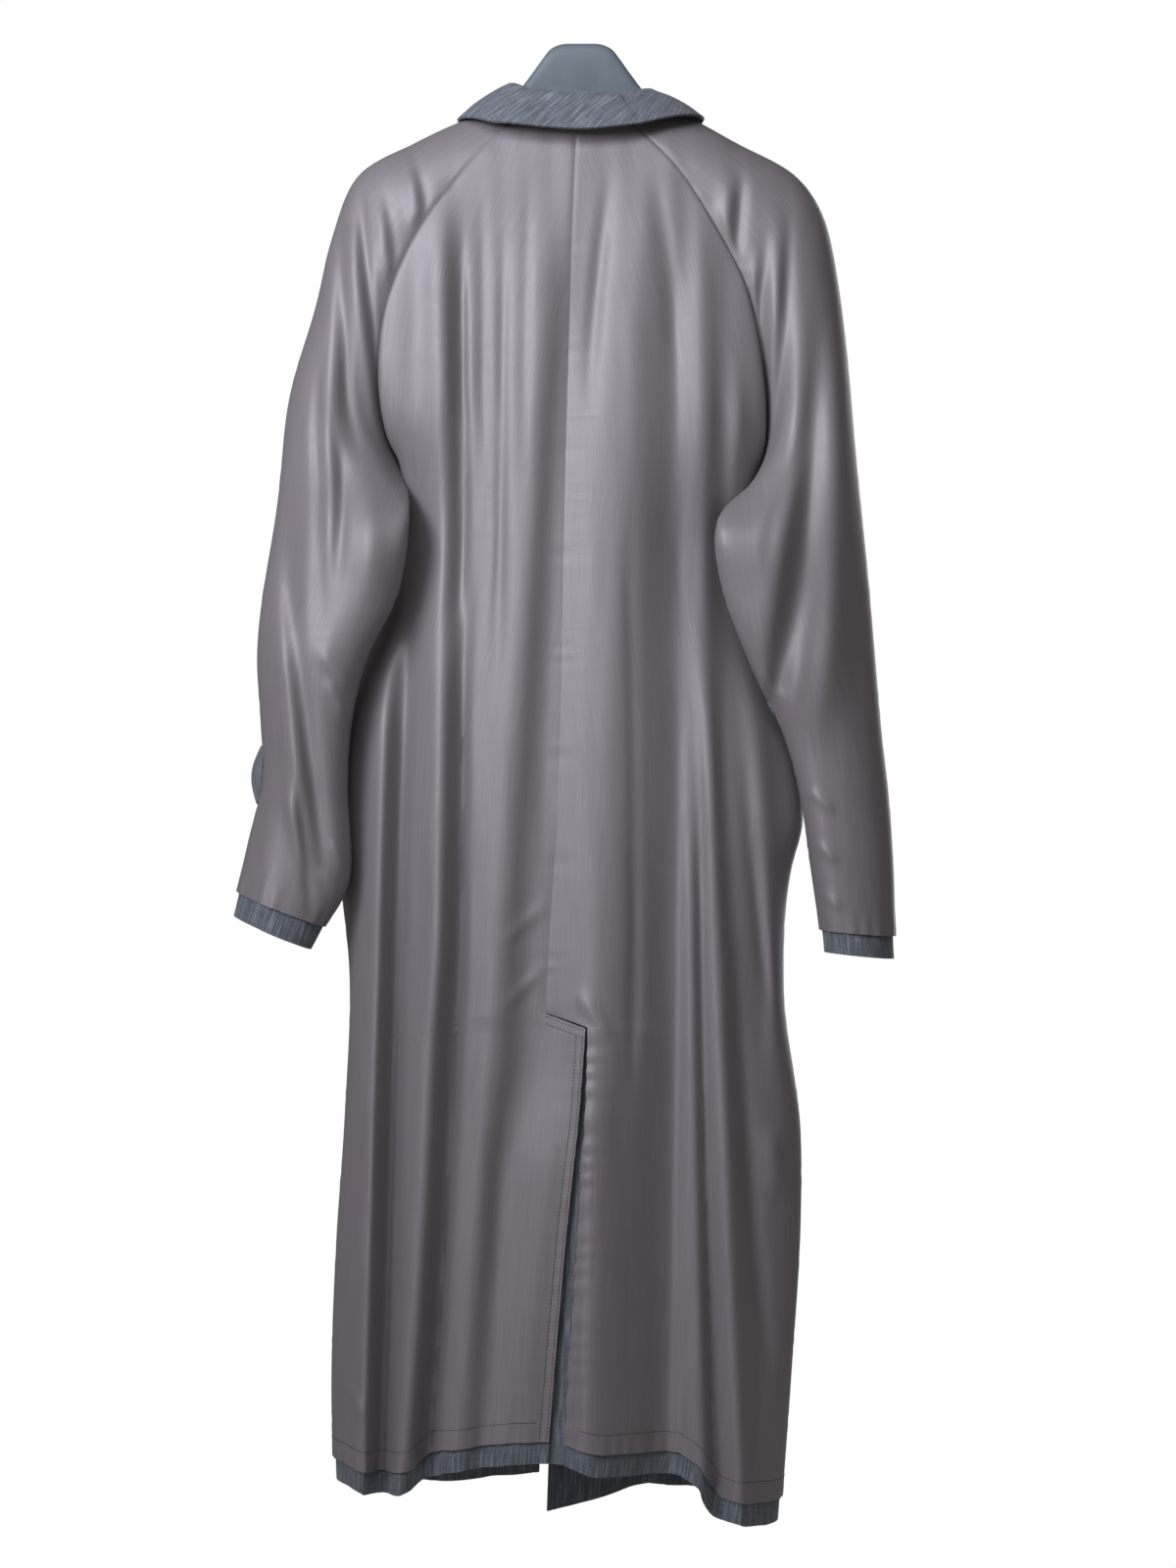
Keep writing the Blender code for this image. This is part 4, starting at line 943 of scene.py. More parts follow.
def build_facings():
    for side in SIDE_NAMES:
        outer = facing_grid(side)
        normal = grid_normals(outer, (0.0, FRONT, 0.0))
        add_wool("front_facing_" + side, "facing_" + side, outer, normal)


def build_half_sleeves():
    for side in SIDE_NAMES:
        for face, word in ((BACK, "back"), (FRONT, "front")):
            s = np.linspace(0.0, 2.0, SLEEVE_ROWS).reshape(-1, 1)
            outer = sleeve_point(side, face, s, steps_across(SLEEVE_COLUMNS[face]))
            outer = round_underarm(outer, s, edge_distances(outer)[1])
            start, end = edge_distances(outer)
            drop = -outer[..., 2]
            relief = seam_relief(start, drop, TOP_SEAM_STRENGTH, *TOP_SEAM)
            relief = relief + seam_relief(end, drop, underarm_calm(s), *SIDE_SEAM)
            relief = relief + hem_ripple(down_distances(outer[::-1])[::-1], start)
            way = shared_way(outer, face, panel_seams(-OUTWARD[side], face, s, end))
            outer = outer + way * relief[..., None]
            which = word + "_" + side
            add_lining("sleeve_lining_" + which, "lining_sleeve_" + which, outer, face)


def under_layer(outer, face):
    """A grid's points moved in, under the lining."""
    normal = grid_normals(outer, (0.0, face, 0.0))
    return outer - normal * (sizes().lining_thickness + sizes().layer_gap), normal


def build_wool_hems():
    first = body_rows()[-2, 0] - HEM_RUNS_UNDER
    rows = np.linspace(first, hem_end(), HEM_ROWS).reshape(-1, 1)
    for side in SIDE_NAMES:
        outer, normal = under_layer(body_point(side, BACK, rows, steps_across(BACK_COLUMNS)), BACK)
        add_wool("back_hem_" + side, "hem_back_" + side, outer, normal)
        split = front_split(rows) - HEM_TUCK
        t = split + (1 - split) * steps_across(FRONT_COLUMNS)
        outer, normal = under_layer(body_point(side, FRONT, rows, t), FRONT)
        add_wool("front_hem_" + side, "hem_front_" + side, outer, normal)


def build_wool_cuffs():
    s = np.linspace(CUFF_START, 2 + 1 / UNDERARM_ROW, CUFF_ROWS).reshape(-1, 1)
    for side in SIDE_NAMES:
        for face, word in ((BACK, "back"), (FRONT, "front")):
            outer, normal = under_layer(sleeve_point(side, face, s, steps_across(CUFF_COLUMNS)), face)
            which = word + "_" + side
            add_wool("sleeve_cuff_" + which, "cuff_" + which, outer, normal)


def back_place(x, drop):
    """The back's surface at an x and a drop, found by its own folds and section."""
    left = along(LEFT_SIDE, drop)
    right = along(RIGHT_SIDE, drop)
    centre = straight(CENTRE_BACK + CENTRE_BELOW_VENT, drop)
    across = np.where(x < centre, (x - centre) / (left - centre), (x - centre) / (right - centre))
    bend = np.arcsin(np.clip(across, 0.0, 1.0) ** (1 / SQUARENESS))
    depth = along(BODY_DEPTH, drop, 1) * np.cos(bend) ** SQUARENESS
    depth = depth + fold_height(BODY_FOLDS[BACK], x, drop) * along(FOLD_GROWTH, drop)
    return np.stack(np.broadcast_arrays(x, -depth, -drop), axis=-1)


def build_vent_underlay():
    lowest = straight(BACK_HEM, MIDDLE_OF_HEM) + HEM_SHOWS
    drops = np.linspace(VENT_TOP - UNDERLAY_ABOVE_BAR, lowest, UNDERLAY_ROWS).reshape(-1, 1)
    left = straight(LEFT_VENT_EDGE, drops) - UNDERLAY_REACH_LEFT
    right = straight(RIGHT_VENT_EDGE, drops) + UNDERLAY_REACH_RIGHT
    x = left + (right - left) * steps_across(UNDERLAY_COLUMNS)
    outer = back_place(x, np.broadcast_to(drops, x.shape))
    normal = grid_normals(outer, (0.0, BACK, 0.0))
    outer = outer - normal * (sizes().lining_thickness + sizes().wool_thickness + UNDERLAY_GAP)
    add_wool("vent_wool", "vent_underlay", outer, normal)


def neck_line():
    """Points round the neck, from the left front edge by the back to the right front edge."""
    halves = []
    for side in SIDE_NAMES:
        zero = np.zeros((1, 1))
        body_back = body_point(side, BACK, zero, steps_across(NECK_BODY_POINTS))[0]
        sleeve_back = sleeve_point(side, BACK, zero, steps_across(NECK_SLEEVE_POINTS, 1.0, 0.0))[0]
        sleeve_front = sleeve_point(side, FRONT, zero, steps_across(NECK_SLEEVE_POINTS))[0]
        body_front = body_point(side, FRONT, zero, steps_across(NECK_BODY_POINTS, 1.0, 0.0))[0]
        halves.append(np.concatenate([body_back, sleeve_back[1:], sleeve_front[1:], body_front[1:]]))
    line = np.concatenate([halves[0][::-1], halves[1][1:]])
    for _ in range(NECK_SMOOTHING):
        line[1:-1] = (line[:-2] + 2 * line[1:-1] + line[2:]) / 4
    return line


def build_collar():
    base = neck_line()
    out = base * (1 / NECK_HALF_WIDTH**2, 1 / NECK_HALF_DEPTH**2, 0.0)
    out = out / np.linalg.norm(out, axis=-1, keepdims=True)
    angle = np.degrees(np.abs(np.arctan2(base[:, 0], -(base[:, 1] - COLLAR_CENTRE_Y))))
    shape = {}
    for n, name in enumerate(COLLAR_HEAD):
        shape[name] = curve(column(COLLAR, 0), column(COLLAR, n), angle)[:, None]
    fall = COLLAR_RIGHT_FALL * np.where(base[:, 0] > 0, ease(angle / COLLAR_RIGHT_ANGLE), 0.0)[:, None]
    shape["rise"] = shape["rise"] - fall
    shape["drop"] = shape["drop"] - fall
    path = np.gradient(base, axis=0)
    for _ in range(COLLAR_SMOOTHING):
        path[1:-1] = (path[:-2] + 2 * path[1:-1] + path[2:]) / 4
    up = np.cross(path, out)
    up = up / np.linalg.norm(up, axis=-1, keepdims=True)
    up = up * np.where(up[:, 2:] < 0, -1.0, 1.0)
    foot = base + up * COLLAR_BASE_GAP
    top = foot - out * shape["lean"] + up * shape["rise"]
    edge = top + out * shape["spread"] - up * shape["drop"]
    keys = [foot, foot + (top - foot) * 0.5]
    keys.append(top - out * COLLAR_ROLL * 0.5 - up * COLLAR_ROLL)
    keys.append(top)
    keys.append(top + out * COLLAR_ROLL * 1.6 - up * COLLAR_ROLL * 0.7)
    bow = (out + up) * COLLAR_BOW
    keys += [top + (edge - top) * f + bow * math.sin(math.pi * f) for f in COLLAR_FALL_PARTS]
    keys.append(edge)
    pick = np.eye(len(keys))
    grid = np.stack([
        sum(curve(COLLAR_PLACES, pick[n], at) * keys[n] for n in range(len(keys)))
        for at in np.linspace(0.0, 1.0, COLLAR_ROWS)
    ])
    normal = np.cross(np.gradient(grid, axis=0), np.gradient(grid, axis=1))
    normal = normal / np.linalg.norm(normal, axis=-1, keepdims=True)
    if normal[COLLAR_FOLD_ROW, len(base) // 2, 2] < 0:
        normal = -normal
    half = sizes().collar_thickness / 2
    uv = cloth_uv(grid)
    turn = math.radians(COLLAR_BIAS)
    bias = np.stack([
        uv[..., 0] * math.cos(turn) - uv[..., 1] * math.sin(turn),
        uv[..., 0] * math.sin(turn) + uv[..., 1] * math.cos(turn),
    ], axis=-1)
    thing = add_wall("folded_collar", grid + normal * half, normal, 2 * half, (wool_material(),), bias)
    declare(thing, "collar")


def build_strap():
    keys = [number / UNDERARM_ROW for number in range(len(LEFT_SLEEVE))]
    first, last = np.interp(STRAP_DROPS, column(LEFT_SLEEVE, 1), keys)
    s = np.linspace(first, last, STRAP_ROWS)
    line = sleeve_point("left", BACK, s, np.zeros_like(s))
    line[:, 0] -= STRAP_CLEAR + sizes().wool_thickness
    width = np.linspace(-1.0, 1.0, STRAP_COLUMNS)
    grid = np.repeat(line[:, None, :], len(width), axis=1)
    grid[:, :, 1] += width * STRAP_HALF_WIDTH
    bow = STRAP_BOW * np.sin(np.linspace(0.0, math.pi, STRAP_ROWS))
    grid[:, :, 0] += STRAP_TUCK * (1 - width) / 2 - bow[:, None] * (1 + width) / 2
    normal = grid_normals(grid, (-1.0, 0.0, 0.0))
    add_wool("sleeve_strap", "sleeve_strap_left", grid, normal)


def hanger_ring(x, side):
    """A rounded section across the hanger."""
    reach = abs(x)
    if reach <= HUMP[-1][0]:
        top = float(along(HUMP, reach)) if reach > HUMP[1][0] else 0.0
    else:
        line = sleeve_row(side, np.linspace(0.0, ARM_SLEEVE_ROWS / UNDERARM_ROW, ARM_LINE_POINTS))
        top = float(np.interp(reach, np.abs(line["top_x"]), line["top_drop"])) + ARM_CLEAR
        start, first = HUMP[-1]
        if reach < start + ARM_BLEND:
            top = first + (top - first) * ease((reach - start) / ARM_BLEND)
    under = float(straight(HANGER_UNDERSIDE, reach))
    half = float(straight(HANGER_HALF_THICKNESS, reach))
    turn = np.linspace(0.0, math.tau, HANGER_SIDES, endpoint=False)
    corner = np.sign(np.cos(turn)) * np.abs(np.cos(turn)) ** HANGER_FACE_POWER
    rise = np.sign(np.sin(turn)) * np.abs(np.sin(turn)) ** HANGER_EDGE_POWER
    height = -(top + under) / 2 + (under - top) / 2 * rise
    return np.stack([np.full(HANGER_SIDES, x), half * corner, height], axis=-1)


def build_hanger():
    hump = np.linspace(0.0, HUMP[-1][0], HANGER_RINGS)
    arm = np.linspace(ARM_START, ARM_END, HANGER_RINGS)
    reaches = np.concatenate([hump, arm])
    rings = [hanger_ring(-x, "left") for x in reaches[:0:-1]] + [hanger_ring(x, "right") for x in reaches]
    count, sides = len(rings), len(rings[0])
    faces = [tuple(range(sides)), tuple(range((count - 1) * sides, count * sides))[::-1]]
    for i in range(count - 1):
        for j in range(sides):
            a, b = i * sides + j, i * sides + (j + 1) % sides
            faces.append((b, a, a + sides, b + sides))
    mesh = bpy.data.meshes.new("hanger_form")
    mesh.from_pydata(np.concatenate(rings).tolist(), [], faces)
    form = put_in_scene("hanger_form", mesh)
    bpy.ops.mesh.primitive_cylinder_add(
        vertices=HOOK_HOLE_SIDES, radius=HOOK_HOLE_RADIUS, depth=2 * HOOK_HOLE_DEPTH
    )
    cutter = bpy.context.object
    cut = form.modifiers.new("hook_hole", "BOOLEAN")
    cut.object = cutter
    cut.operation = "DIFFERENCE"
    cut.solver = "EXACT"
    bpy.context.view_layer.update()
    done = bpy.data.meshes.new_from_object(form.evaluated_get(bpy.context.evaluated_depsgraph_get()))
    done.materials.clear()
    done.materials.append(hanger_material())
    done.shade_smooth()
    done.set_sharp_from_angle(angle=math.radians(HANGER_SHARP_ANGLE))
    bpy.data.objects.remove(form)
    bpy.data.objects.remove(cutter)
    done.name = "broad_hanger"
    thing = put_in_scene("broad_hanger", done)
    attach(thing, "root")
    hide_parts("hanger")


def node_group(name, inputs, outputs):
    """A new shader node group with its sockets."""
    group = bpy.data.node_groups.new(name, "ShaderNodeTree")
    for socket, kind, value in inputs:
        made = group.interface.new_socket(name=socket, in_out="INPUT", socket_type=kind)
        if value is not None:
            made.default_value = value
    for socket, kind in outputs:
        group.interface.new_socket(name=socket, in_out="OUTPUT", socket_type=kind)
    return group, group.nodes.new("NodeGroupInput"), group.nodes.new("NodeGroupOutput")


def threads_group():
    """Streaks of uneven thread along and across the cloth, and slow mottling."""
    name = "uneven_threads"
    if name in bpy.data.node_groups:
        return bpy.data.node_groups[name]
    group, given, put = node_group(
        name,
        (
            ("Vector", "NodeSocketVector", None),
            ("Threads per metre", "NodeSocketFloat", 1400.0),
            ("Streaks per metre", "NodeSocketFloat", 20.0),
            ("Mottles per metre", "NodeSocketFloat", 14.0),
        ),
        (("Warp", "NodeSocketFloat"), ("Weft", "NodeSocketFloat"), ("Mottle", "NodeSocketFloat"),
         ("Height", "NodeSocketFloat")),
    )
    nodes, links = group.nodes, group.links

    def streaks(first, second, detail):
        join = nodes.new("ShaderNodeCombineXYZ")
        links.new(given.outputs[first], join.inputs["X"])
        links.new(given.outputs[second], join.inputs["Y"])
        scale = nodes.new("ShaderNodeVectorMath")
        scale.operation = "MULTIPLY"
        links.new(given.outputs["Vector"], scale.inputs[0])
        links.new(join.outputs[0], scale.inputs[1])
        noise = nodes.new("ShaderNodeTexNoise")
        noise.noise_dimensions = "2D"
        noise.inputs["Scale"].default_value = 1.0
        noise.inputs["Detail"].default_value = detail
        links.new(scale.outputs[0], noise.inputs["Vector"])
        return noise.outputs[0]

    warp = streaks("Threads per metre", "Streaks per metre", 2.0)
    weft = streaks("Streaks per metre", "Threads per metre", 2.0)
    mottle = streaks("Mottles per metre", "Mottles per metre", 3.0)
    both = nodes.new("ShaderNodeMath")
    both.operation = "ADD"
    links.new(warp, both.inputs[0])
    links.new(weft, both.inputs[1])
    for value, socket in ((warp, "Warp"), (weft, "Weft"), (mottle, "Mottle"), (both.outputs[0], "Height")):
        links.new(value, put.inputs[socket])
    return group


def start_material(name):
    """A new material with its nodes and links, or None where it is made already."""
    if name in bpy.data.materials:
        return None, None, None
    material = bpy.data.materials.new(name)
    material.use_nodes = True
    nodes = material.node_tree.nodes
    return material, nodes, material.node_tree.links


def placed_threads(nodes, links, threads, streaks, mottles):
    """The thread pattern laid along the cloth, with its counts to the metre."""
    uv = nodes.new("ShaderNodeUVMap")
    uv.uv_map = "cloth"
    placed = nodes.new("ShaderNodeGroup")
    placed.node_tree = threads_group()
    placed.inputs["Threads per metre"].default_value = threads
    placed.inputs["Streaks per metre"].default_value = streaks
    placed.inputs["Mottles per metre"].default_value = mottles
    links.new(uv.outputs[0], placed.inputs["Vector"])
    return placed


def ranged(nodes, links, value, low, high, start=0.0, end=1.0):
    """A value brought from one range to another."""
    node = nodes.new("ShaderNodeMapRange")
    node.inputs["From Min"].default_value = start
    node.inputs["From Max"].default_value = end
    node.inputs["To Min"].default_value = low
    node.inputs["To Max"].default_value = high
    links.new(value, node.inputs["Value"])
    return node.outputs[0]


def mixed(nodes, links, factor, first, second):
    """A colour between two, which are colours or sockets."""
    node = nodes.new("ShaderNodeMix")
    node.data_type = "RGBA"
    links.new(factor, node.inputs["Factor"])
    for given, socket in ((first, node.inputs[6]), (second, node.inputs[7])):
        if hasattr(given, "is_linked"):
            links.new(given, socket)
        else:
            socket.default_value = (*given, 1.0)
    return node.outputs[2]


def bumped(nodes, links, height, strength, distance):
    bump = nodes.new("ShaderNodeBump")
    bump.inputs["Strength"].default_value = strength
    bump.inputs["Distance"].default_value = distance
    links.new(height, bump.inputs["Height"])
    return bump.outputs[0]


def satin_material():
    """Satin lining: fine warp threads with a soft broad gloss."""
    name = "satin lining"
    material, nodes, links = start_material(name)
    if material is None:
        return bpy.data.materials[name]
    shader = nodes["Principled BSDF"]
    threads = placed_threads(nodes, links, threads=1500.0, streaks=16.0, mottles=12.0)
    streak = ranged(nodes, links, threads.outputs["Warp"], 0.0, 1.0, 0.30, 0.70)
    cloth = mixed(nodes, links, streak, tuple(colours().lining_shade), tuple(colours().lining))
    cloudy = ranged(nodes, links, threads.outputs["Mottle"], 0.0, 0.35, 0.35, 0.75)
    cloth = mixed(nodes, links, cloudy, cloth, tuple(colours().lining_shade))
    links.new(cloth, shader.inputs["Base Color"])
    gloss = ranged(nodes, links, threads.outputs["Weft"], 0.48, 0.56, 0.3, 0.7)
    links.new(gloss, shader.inputs["Roughness"])
    links.new(bumped(nodes, links, threads.outputs["Height"], 0.05, 0.0004), shader.inputs["Normal"])
    shader.inputs["Metallic"].default_value = 0.20
    shader.inputs["Specular IOR Level"].default_value = 0.5
    return material


def wool_material():
    """Matt wool with pale slubs along the warp and faint cross threads."""
    name = "slubbed wool"
    material, nodes, links = start_material(name)
    if material is None:
        return bpy.data.materials[name]
    shader = nodes["Principled BSDF"]
    threads = placed_threads(nodes, links, threads=620.0, streaks=34.0, mottles=22.0)
    slub = ranged(nodes, links, threads.outputs["Warp"], 0.0, 0.75, 0.44, 0.74)
    cross = ranged(nodes, links, threads.outputs["Weft"], 0.0, 0.22, 0.45, 0.75)
    cloth = mixed(nodes, links, slub, tuple(colours().wool), tuple(colours().wool_slub))
    cloth = mixed(nodes, links, cross, cloth, tuple(colours().wool_slub))
    links.new(cloth, shader.inputs["Base Color"])
    gloss = ranged(nodes, links, threads.outputs["Mottle"], 0.82, 0.95, 0.3, 0.7)
    links.new(gloss, shader.inputs["Roughness"])
    links.new(bumped(nodes, links, threads.outputs["Height"], 0.45, 0.0006), shader.inputs["Normal"])
    shader.inputs["Specular IOR Level"].default_value = 0.25
    shader.inputs["Sheen Weight"].default_value = 0.15
    shader.inputs["Sheen Roughness"].default_value = 0.5
    return material


def object_noise(nodes, links, scale, detail):
    """Noise laid by the piece's own coordinates."""
    place = nodes.new("ShaderNodeTexCoord")
    noise = nodes.new("ShaderNodeTexNoise")
    noise.inputs["Scale"].default_value = scale
    noise.inputs["Detail"].default_value = detail
    links.new(place.outputs["Object"], noise.inputs["Vector"])
    return noise.outputs[0]


def hanger_material():
    """Matt moulded slate with a fine grain."""
    name = "matt slate moulding"
    material, nodes, links = start_material(name)
    if material is None:
        return bpy.data.materials[name]
    shader = nodes["Principled BSDF"]
    grain = object_noise(nodes, links, 900.0, 2.0)
    cloud = object_noise(nodes, links, 30.0, 3.0)
    base = tuple(colours().hanger)
    pale = tuple(v * 1.25 for v in base)
    cloudy = ranged(nodes, links, cloud, 0.0, 1.0, 0.35, 0.65)
    links.new(mixed(nodes, links, cloudy, base, pale), shader.inputs["Base Color"])
    links.new(ranged(nodes, links, cloud, 0.38, 0.50, 0.3, 0.7), shader.inputs["Roughness"])
    links.new(bumped(nodes, links, grain, 0.12, 0.0003), shader.inputs["Normal"])
    return material


def thread_material():
    """Sewing thread with a slight twist."""
    name = "sewing thread"
    material, nodes, links = start_material(name)
    if material is None:
        return bpy.data.materials[name]
    shader = nodes["Principled BSDF"]
    twist = ranged(nodes, links, object_noise(nodes, links, 1800.0, 2.0), 0.0, 1.0, 0.3, 0.7)
    base = tuple(colours().thread)
    dark = tuple(v * 0.75 for v in base)
    links.new(mixed(nodes, links, twist, dark, base), shader.inputs["Base Color"])
    shader.inputs["Roughness"].default_value = 0.6
    return material


def stitch_tree():
    """Geometry Nodes: one rounded stitch at each step along the given lines."""
    name = "stitch_rows"
    if name in bpy.data.node_groups:
        return bpy.data.node_groups[name]
    tree = bpy.data.node_groups.new(name, "GeometryNodeTree")
    tree.interface.new_socket(name="Geometry", in_out="INPUT", socket_type="NodeSocketGeometry")
    for socket, kind in (("Pitch", "NodeSocketFloat"), ("Length", "NodeSocketFloat"),
                         ("Radius", "NodeSocketFloat"), ("Thread", "NodeSocketMaterial")):
        tree.interface.new_socket(name=socket, in_out="INPUT", socket_type=kind)
    tree.interface.new_socket(name="Geometry", in_out="OUTPUT", socket_type="NodeSocketGeometry")
    nodes, links = tree.nodes, tree.links
    given, put = nodes.new("NodeGroupInput"), nodes.new("NodeGroupOutput")
    line = nodes.new("GeometryNodeMeshToCurve")
    points = nodes.new("GeometryNodeCurveToPoints")
    points.mode = "LENGTH"
    turn = nodes.new("FunctionNodeAlignRotationToVector")
    turn.axis = "Z"
    ball = nodes.new("GeometryNodeMeshUVSphere")
    ball.inputs["Segments"].default_value = 6
    ball.inputs["Rings"].default_value = 4
    ball.inputs["Radius"].default_value = 1.0
    half = nodes.new("ShaderNodeMath")
    half.operation = "MULTIPLY"
    half.inputs[1].default_value = 0.5
    shape = nodes.new("ShaderNodeCombineXYZ")
    instance = nodes.new("GeometryNodeInstanceOnPoints")
    real = nodes.new("GeometryNodeRealizeInstances")
    dress = nodes.new("GeometryNodeSetMaterial")
    links.new(given.outputs["Geometry"], line.inputs["Mesh"])
    links.new(line.outputs["Curve"], points.inputs["Curve"])
    links.new(given.outputs["Pitch"], points.inputs["Length"])
    links.new(points.outputs["Tangent"], turn.inputs["Vector"])
    links.new(given.outputs["Length"], half.inputs[0])
    links.new(given.outputs["Radius"], shape.inputs["X"])
    links.new(given.outputs["Radius"], shape.inputs["Y"])
    links.new(half.outputs[0], shape.inputs["Z"])
    links.new(points.outputs["Points"], instance.inputs["Points"])
    links.new(ball.outputs["Mesh"], instance.inputs["Instance"])
    links.new(turn.outputs[0], instance.inputs["Rotation"])
    links.new(shape.outputs[0], instance.inputs["Scale"])
    links.new(instance.outputs[0], real.inputs[0])
    links.new(real.outputs[0], dress.inputs["Geometry"])
    links.new(given.outputs["Thread"], dress.inputs["Material"])
    links.new(dress.outputs[0], put.inputs[0])
    return tree


def add_stitches(name, lines):
    """Rows of stitches along lines of points, as one plain mesh."""
    points, edges = [], []
    for line in lines:
        first = len(points)
        points += [tuple(map(float, p)) for p in line]
        edges += [(first + k, first + k + 1) for k in range(len(line) - 1)]
    mesh = bpy.data.meshes.new(name + "_lines")
    mesh.from_pydata(points, edges, [])
    guide = put_in_scene(name + "_lines", mesh)
    tree = stitch_tree()
    modifier = guide.modifiers.new("stitches", "NODES")
    modifier.node_group = tree
    values = {
        "Pitch": sizes().stitch_pitch, "Length": sizes().stitch_length,
        "Radius": sizes().thread_radius, "Thread": thread_material(),
    }
    for item in tree.interface.items_tree:
        if item.in_out == "INPUT" and item.name in values:
            modifier[item.identifier] = values[item.name]
    bpy.context.view_layer.update()
    done = bpy.data.meshes.new_from_object(guide.evaluated_get(bpy.context.evaluated_depsgraph_get()))
    bpy.data.objects.remove(guide)
    done.name = name
    done.shade_smooth()
    thing = put_in_scene(name, done)
    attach(thing, "root")


def inset_line(grid, distance, first, last):
    """A line that runs down a grid at a distance from its first column, a little proud of it."""
    normal = grid_normals(grid, (0.0, grid[..., 1].mean(), 0.0))
    away, _ = edge_distances(grid)
    line = []
    for i in range(first, last):
        j = min(int(np.searchsorted(away[i], distance)), grid.shape[1] - 1)
        f = (distance - away[i, j - 1]) / max(away[i, j] - away[i, j - 1], 1e-9)
        line.append(grid[i, j - 1] + (grid[i, j] - grid[i, j - 1]) * f + normal[i, j] * STITCH_PROUD)
    return np.array(line)


def surface_at(grid, x, drop):
    """The point of a half back's grid at a given x and drop."""
    order = np.argsort(grid[0, :, 0])
    found = [[np.interp(x, row[order, 0], row[order, n]) for n in (1, 2)] for row in grid]
    y, z = np.array(found).T
    return (x, np.interp(drop, -z, y), -drop)


def build_stitching():
    """Two rows along the vent's edge and its bar, one along each back hem, two along each facing."""
    rows = body_rows()[:, 0]
    backs = {side: back_grid(side) for side in SIDE_NAMES}
    left_back = backs["left"]
    bar_row = int(np.searchsorted(-left_back[:, 0, 2], VENT_BAR_END))
    lining_lines = [inset_line(left_back, inset, bar_row + 2, len(rows)) for inset in VENT_STITCHES]
    bar_x0, bar_x1 = CENTRE_BACK[-1][1], LEFT_VENT_EDGE[0][1]
    slope = (VENT_BAR_END - VENT_TOP) / (bar_x1 - bar_x0)
    places = np.linspace(bar_x0 + BAR_STITCH_START, bar_x1 - BAR_STITCH_END, BAR_STITCH_POINTS)
    for below in VENT_STITCHES:
        line = [surface_at(left_back, x, VENT_TOP + below + slope * (x - bar_x0)) for x in places]
        lining_lines.append(np.array(line) + (0.0, BACK * BAR_STITCH_PROUD, 0.0))
    hem_row = int(np.searchsorted(rows, 2.0 - HEM_STITCHES_UP / (HEM_LEVEL - UNDERARM_DROP)))
    wool_lines = []
    for side in SIDE_NAMES:
        grid = backs[side]
        normal = grid_normals(grid, (0.0, BACK, 0.0))
        lining_lines.append(grid[hem_row, 3:-2] + normal[hem_row, 3:-2] * STITCH_PROUD)
        grid = facing_grid(side)
        wool_lines += [inset_line(grid, inset, 0, grid.shape[0]) for inset in FACING_STITCHES]
    add_stitches("lining_stitches", lining_lines)
    add_stitches("facing_stitches", wool_lines)


def add_light(name, place, aim, size, spread, energy, colour):
    """A rectangular lamp that is aimed at a point."""
    light = bpy.data.lights.new(name, "AREA")
    light.shape = "RECTANGLE"
    light.size, light.size_y = size
    light.spread = math.radians(spread)
    light.energy = energy
    light.color = colour
    thing = put_in_scene(name, light)
    thing.location = place
    way = np.asarray(aim, float) - np.asarray(place, float)
    thing.rotation_euler = (
        math.atan2(math.hypot(way[0], way[1]), -way[2]), 0.0, math.atan2(-way[0], way[1])
    )


# The photograph's view: distance from the middle plane, the point that the camera looks at, lens
CAMERA_DISTANCE = 3.5
CAMERA_X = 0.0062
CAMERA_DROP = 0.6644
CAMERA_LENS = 89.5
SENSOR_WIDTH = 36.0
# The floor looks pale to the camera without throwing light up at the coat
FLOOR_DROP = 1.90
FLOOR_RADIUS = 2.4
FLOOR_SIDES = 96
FLOOR_ROUGHNESS = 0.8
FLOOR_GLOW = 0.62
# Lights: name, place, point that it is aimed at, size, spread in degrees, watts, colour
LIGHTS = (
    ("key", (-1.8, -2.1, 0.6), (0.0, 0.0, 0.05), (1.3, 1.3), 72.0, 12.0, (0.905, 0.905, 1.0)),
    ("top", (-0.4, -2.6, 1.5), (0.0, 0.0, 0.1), (1.4, 0.8), 80.0, 5.5, (0.905, 0.905, 1.0)),
    ("front", (0.9, 2.7, -0.1), (0.0, 0.0, -0.65), (1.8, 1.8), 120.0, 20.0, (1.0, 1.0, 1.0)),
)
AMBIENT_COLOUR = (1.06, 1.0, 0.94, 1.0)
AMBIENT_STRENGTH = 0.12


def add_camera():
    camera = put_in_scene("camera", bpy.data.cameras.new("camera"))
    camera.location = (CAMERA_X, -CAMERA_DISTANCE, -CAMERA_DROP)
    camera.rotation_euler = (math.pi / 2, 0.0, 0.0)
    camera.data.lens = CAMERA_LENS
    camera.data.sensor_width = SENSOR_WIDTH
    bpy.context.scene.camera = camera


def floor_material():
    material = bpy.data.materials.new("pale floor")
    material.use_nodes = True
    nodes, links = material.node_tree.nodes, material.node_tree.links
    shader = nodes["Principled BSDF"]
    shader.inputs["Base Color"].default_value = (*colours().floor, 1.0)
    shader.inputs["Roughness"].default_value = FLOOR_ROUGHNESS
    shader.inputs["Emission Color"].default_value = (*colours().floor, 1.0)
    path = nodes.new("ShaderNodeLightPath")
    glow = nodes.new("ShaderNodeMath")
    glow.operation = "MULTIPLY"
    glow.inputs[1].default_value = FLOOR_GLOW
    links.new(path.outputs["Is Camera Ray"], glow.inputs[0])
    links.new(glow.outputs[0], shader.inputs["Emission Strength"])
    return material


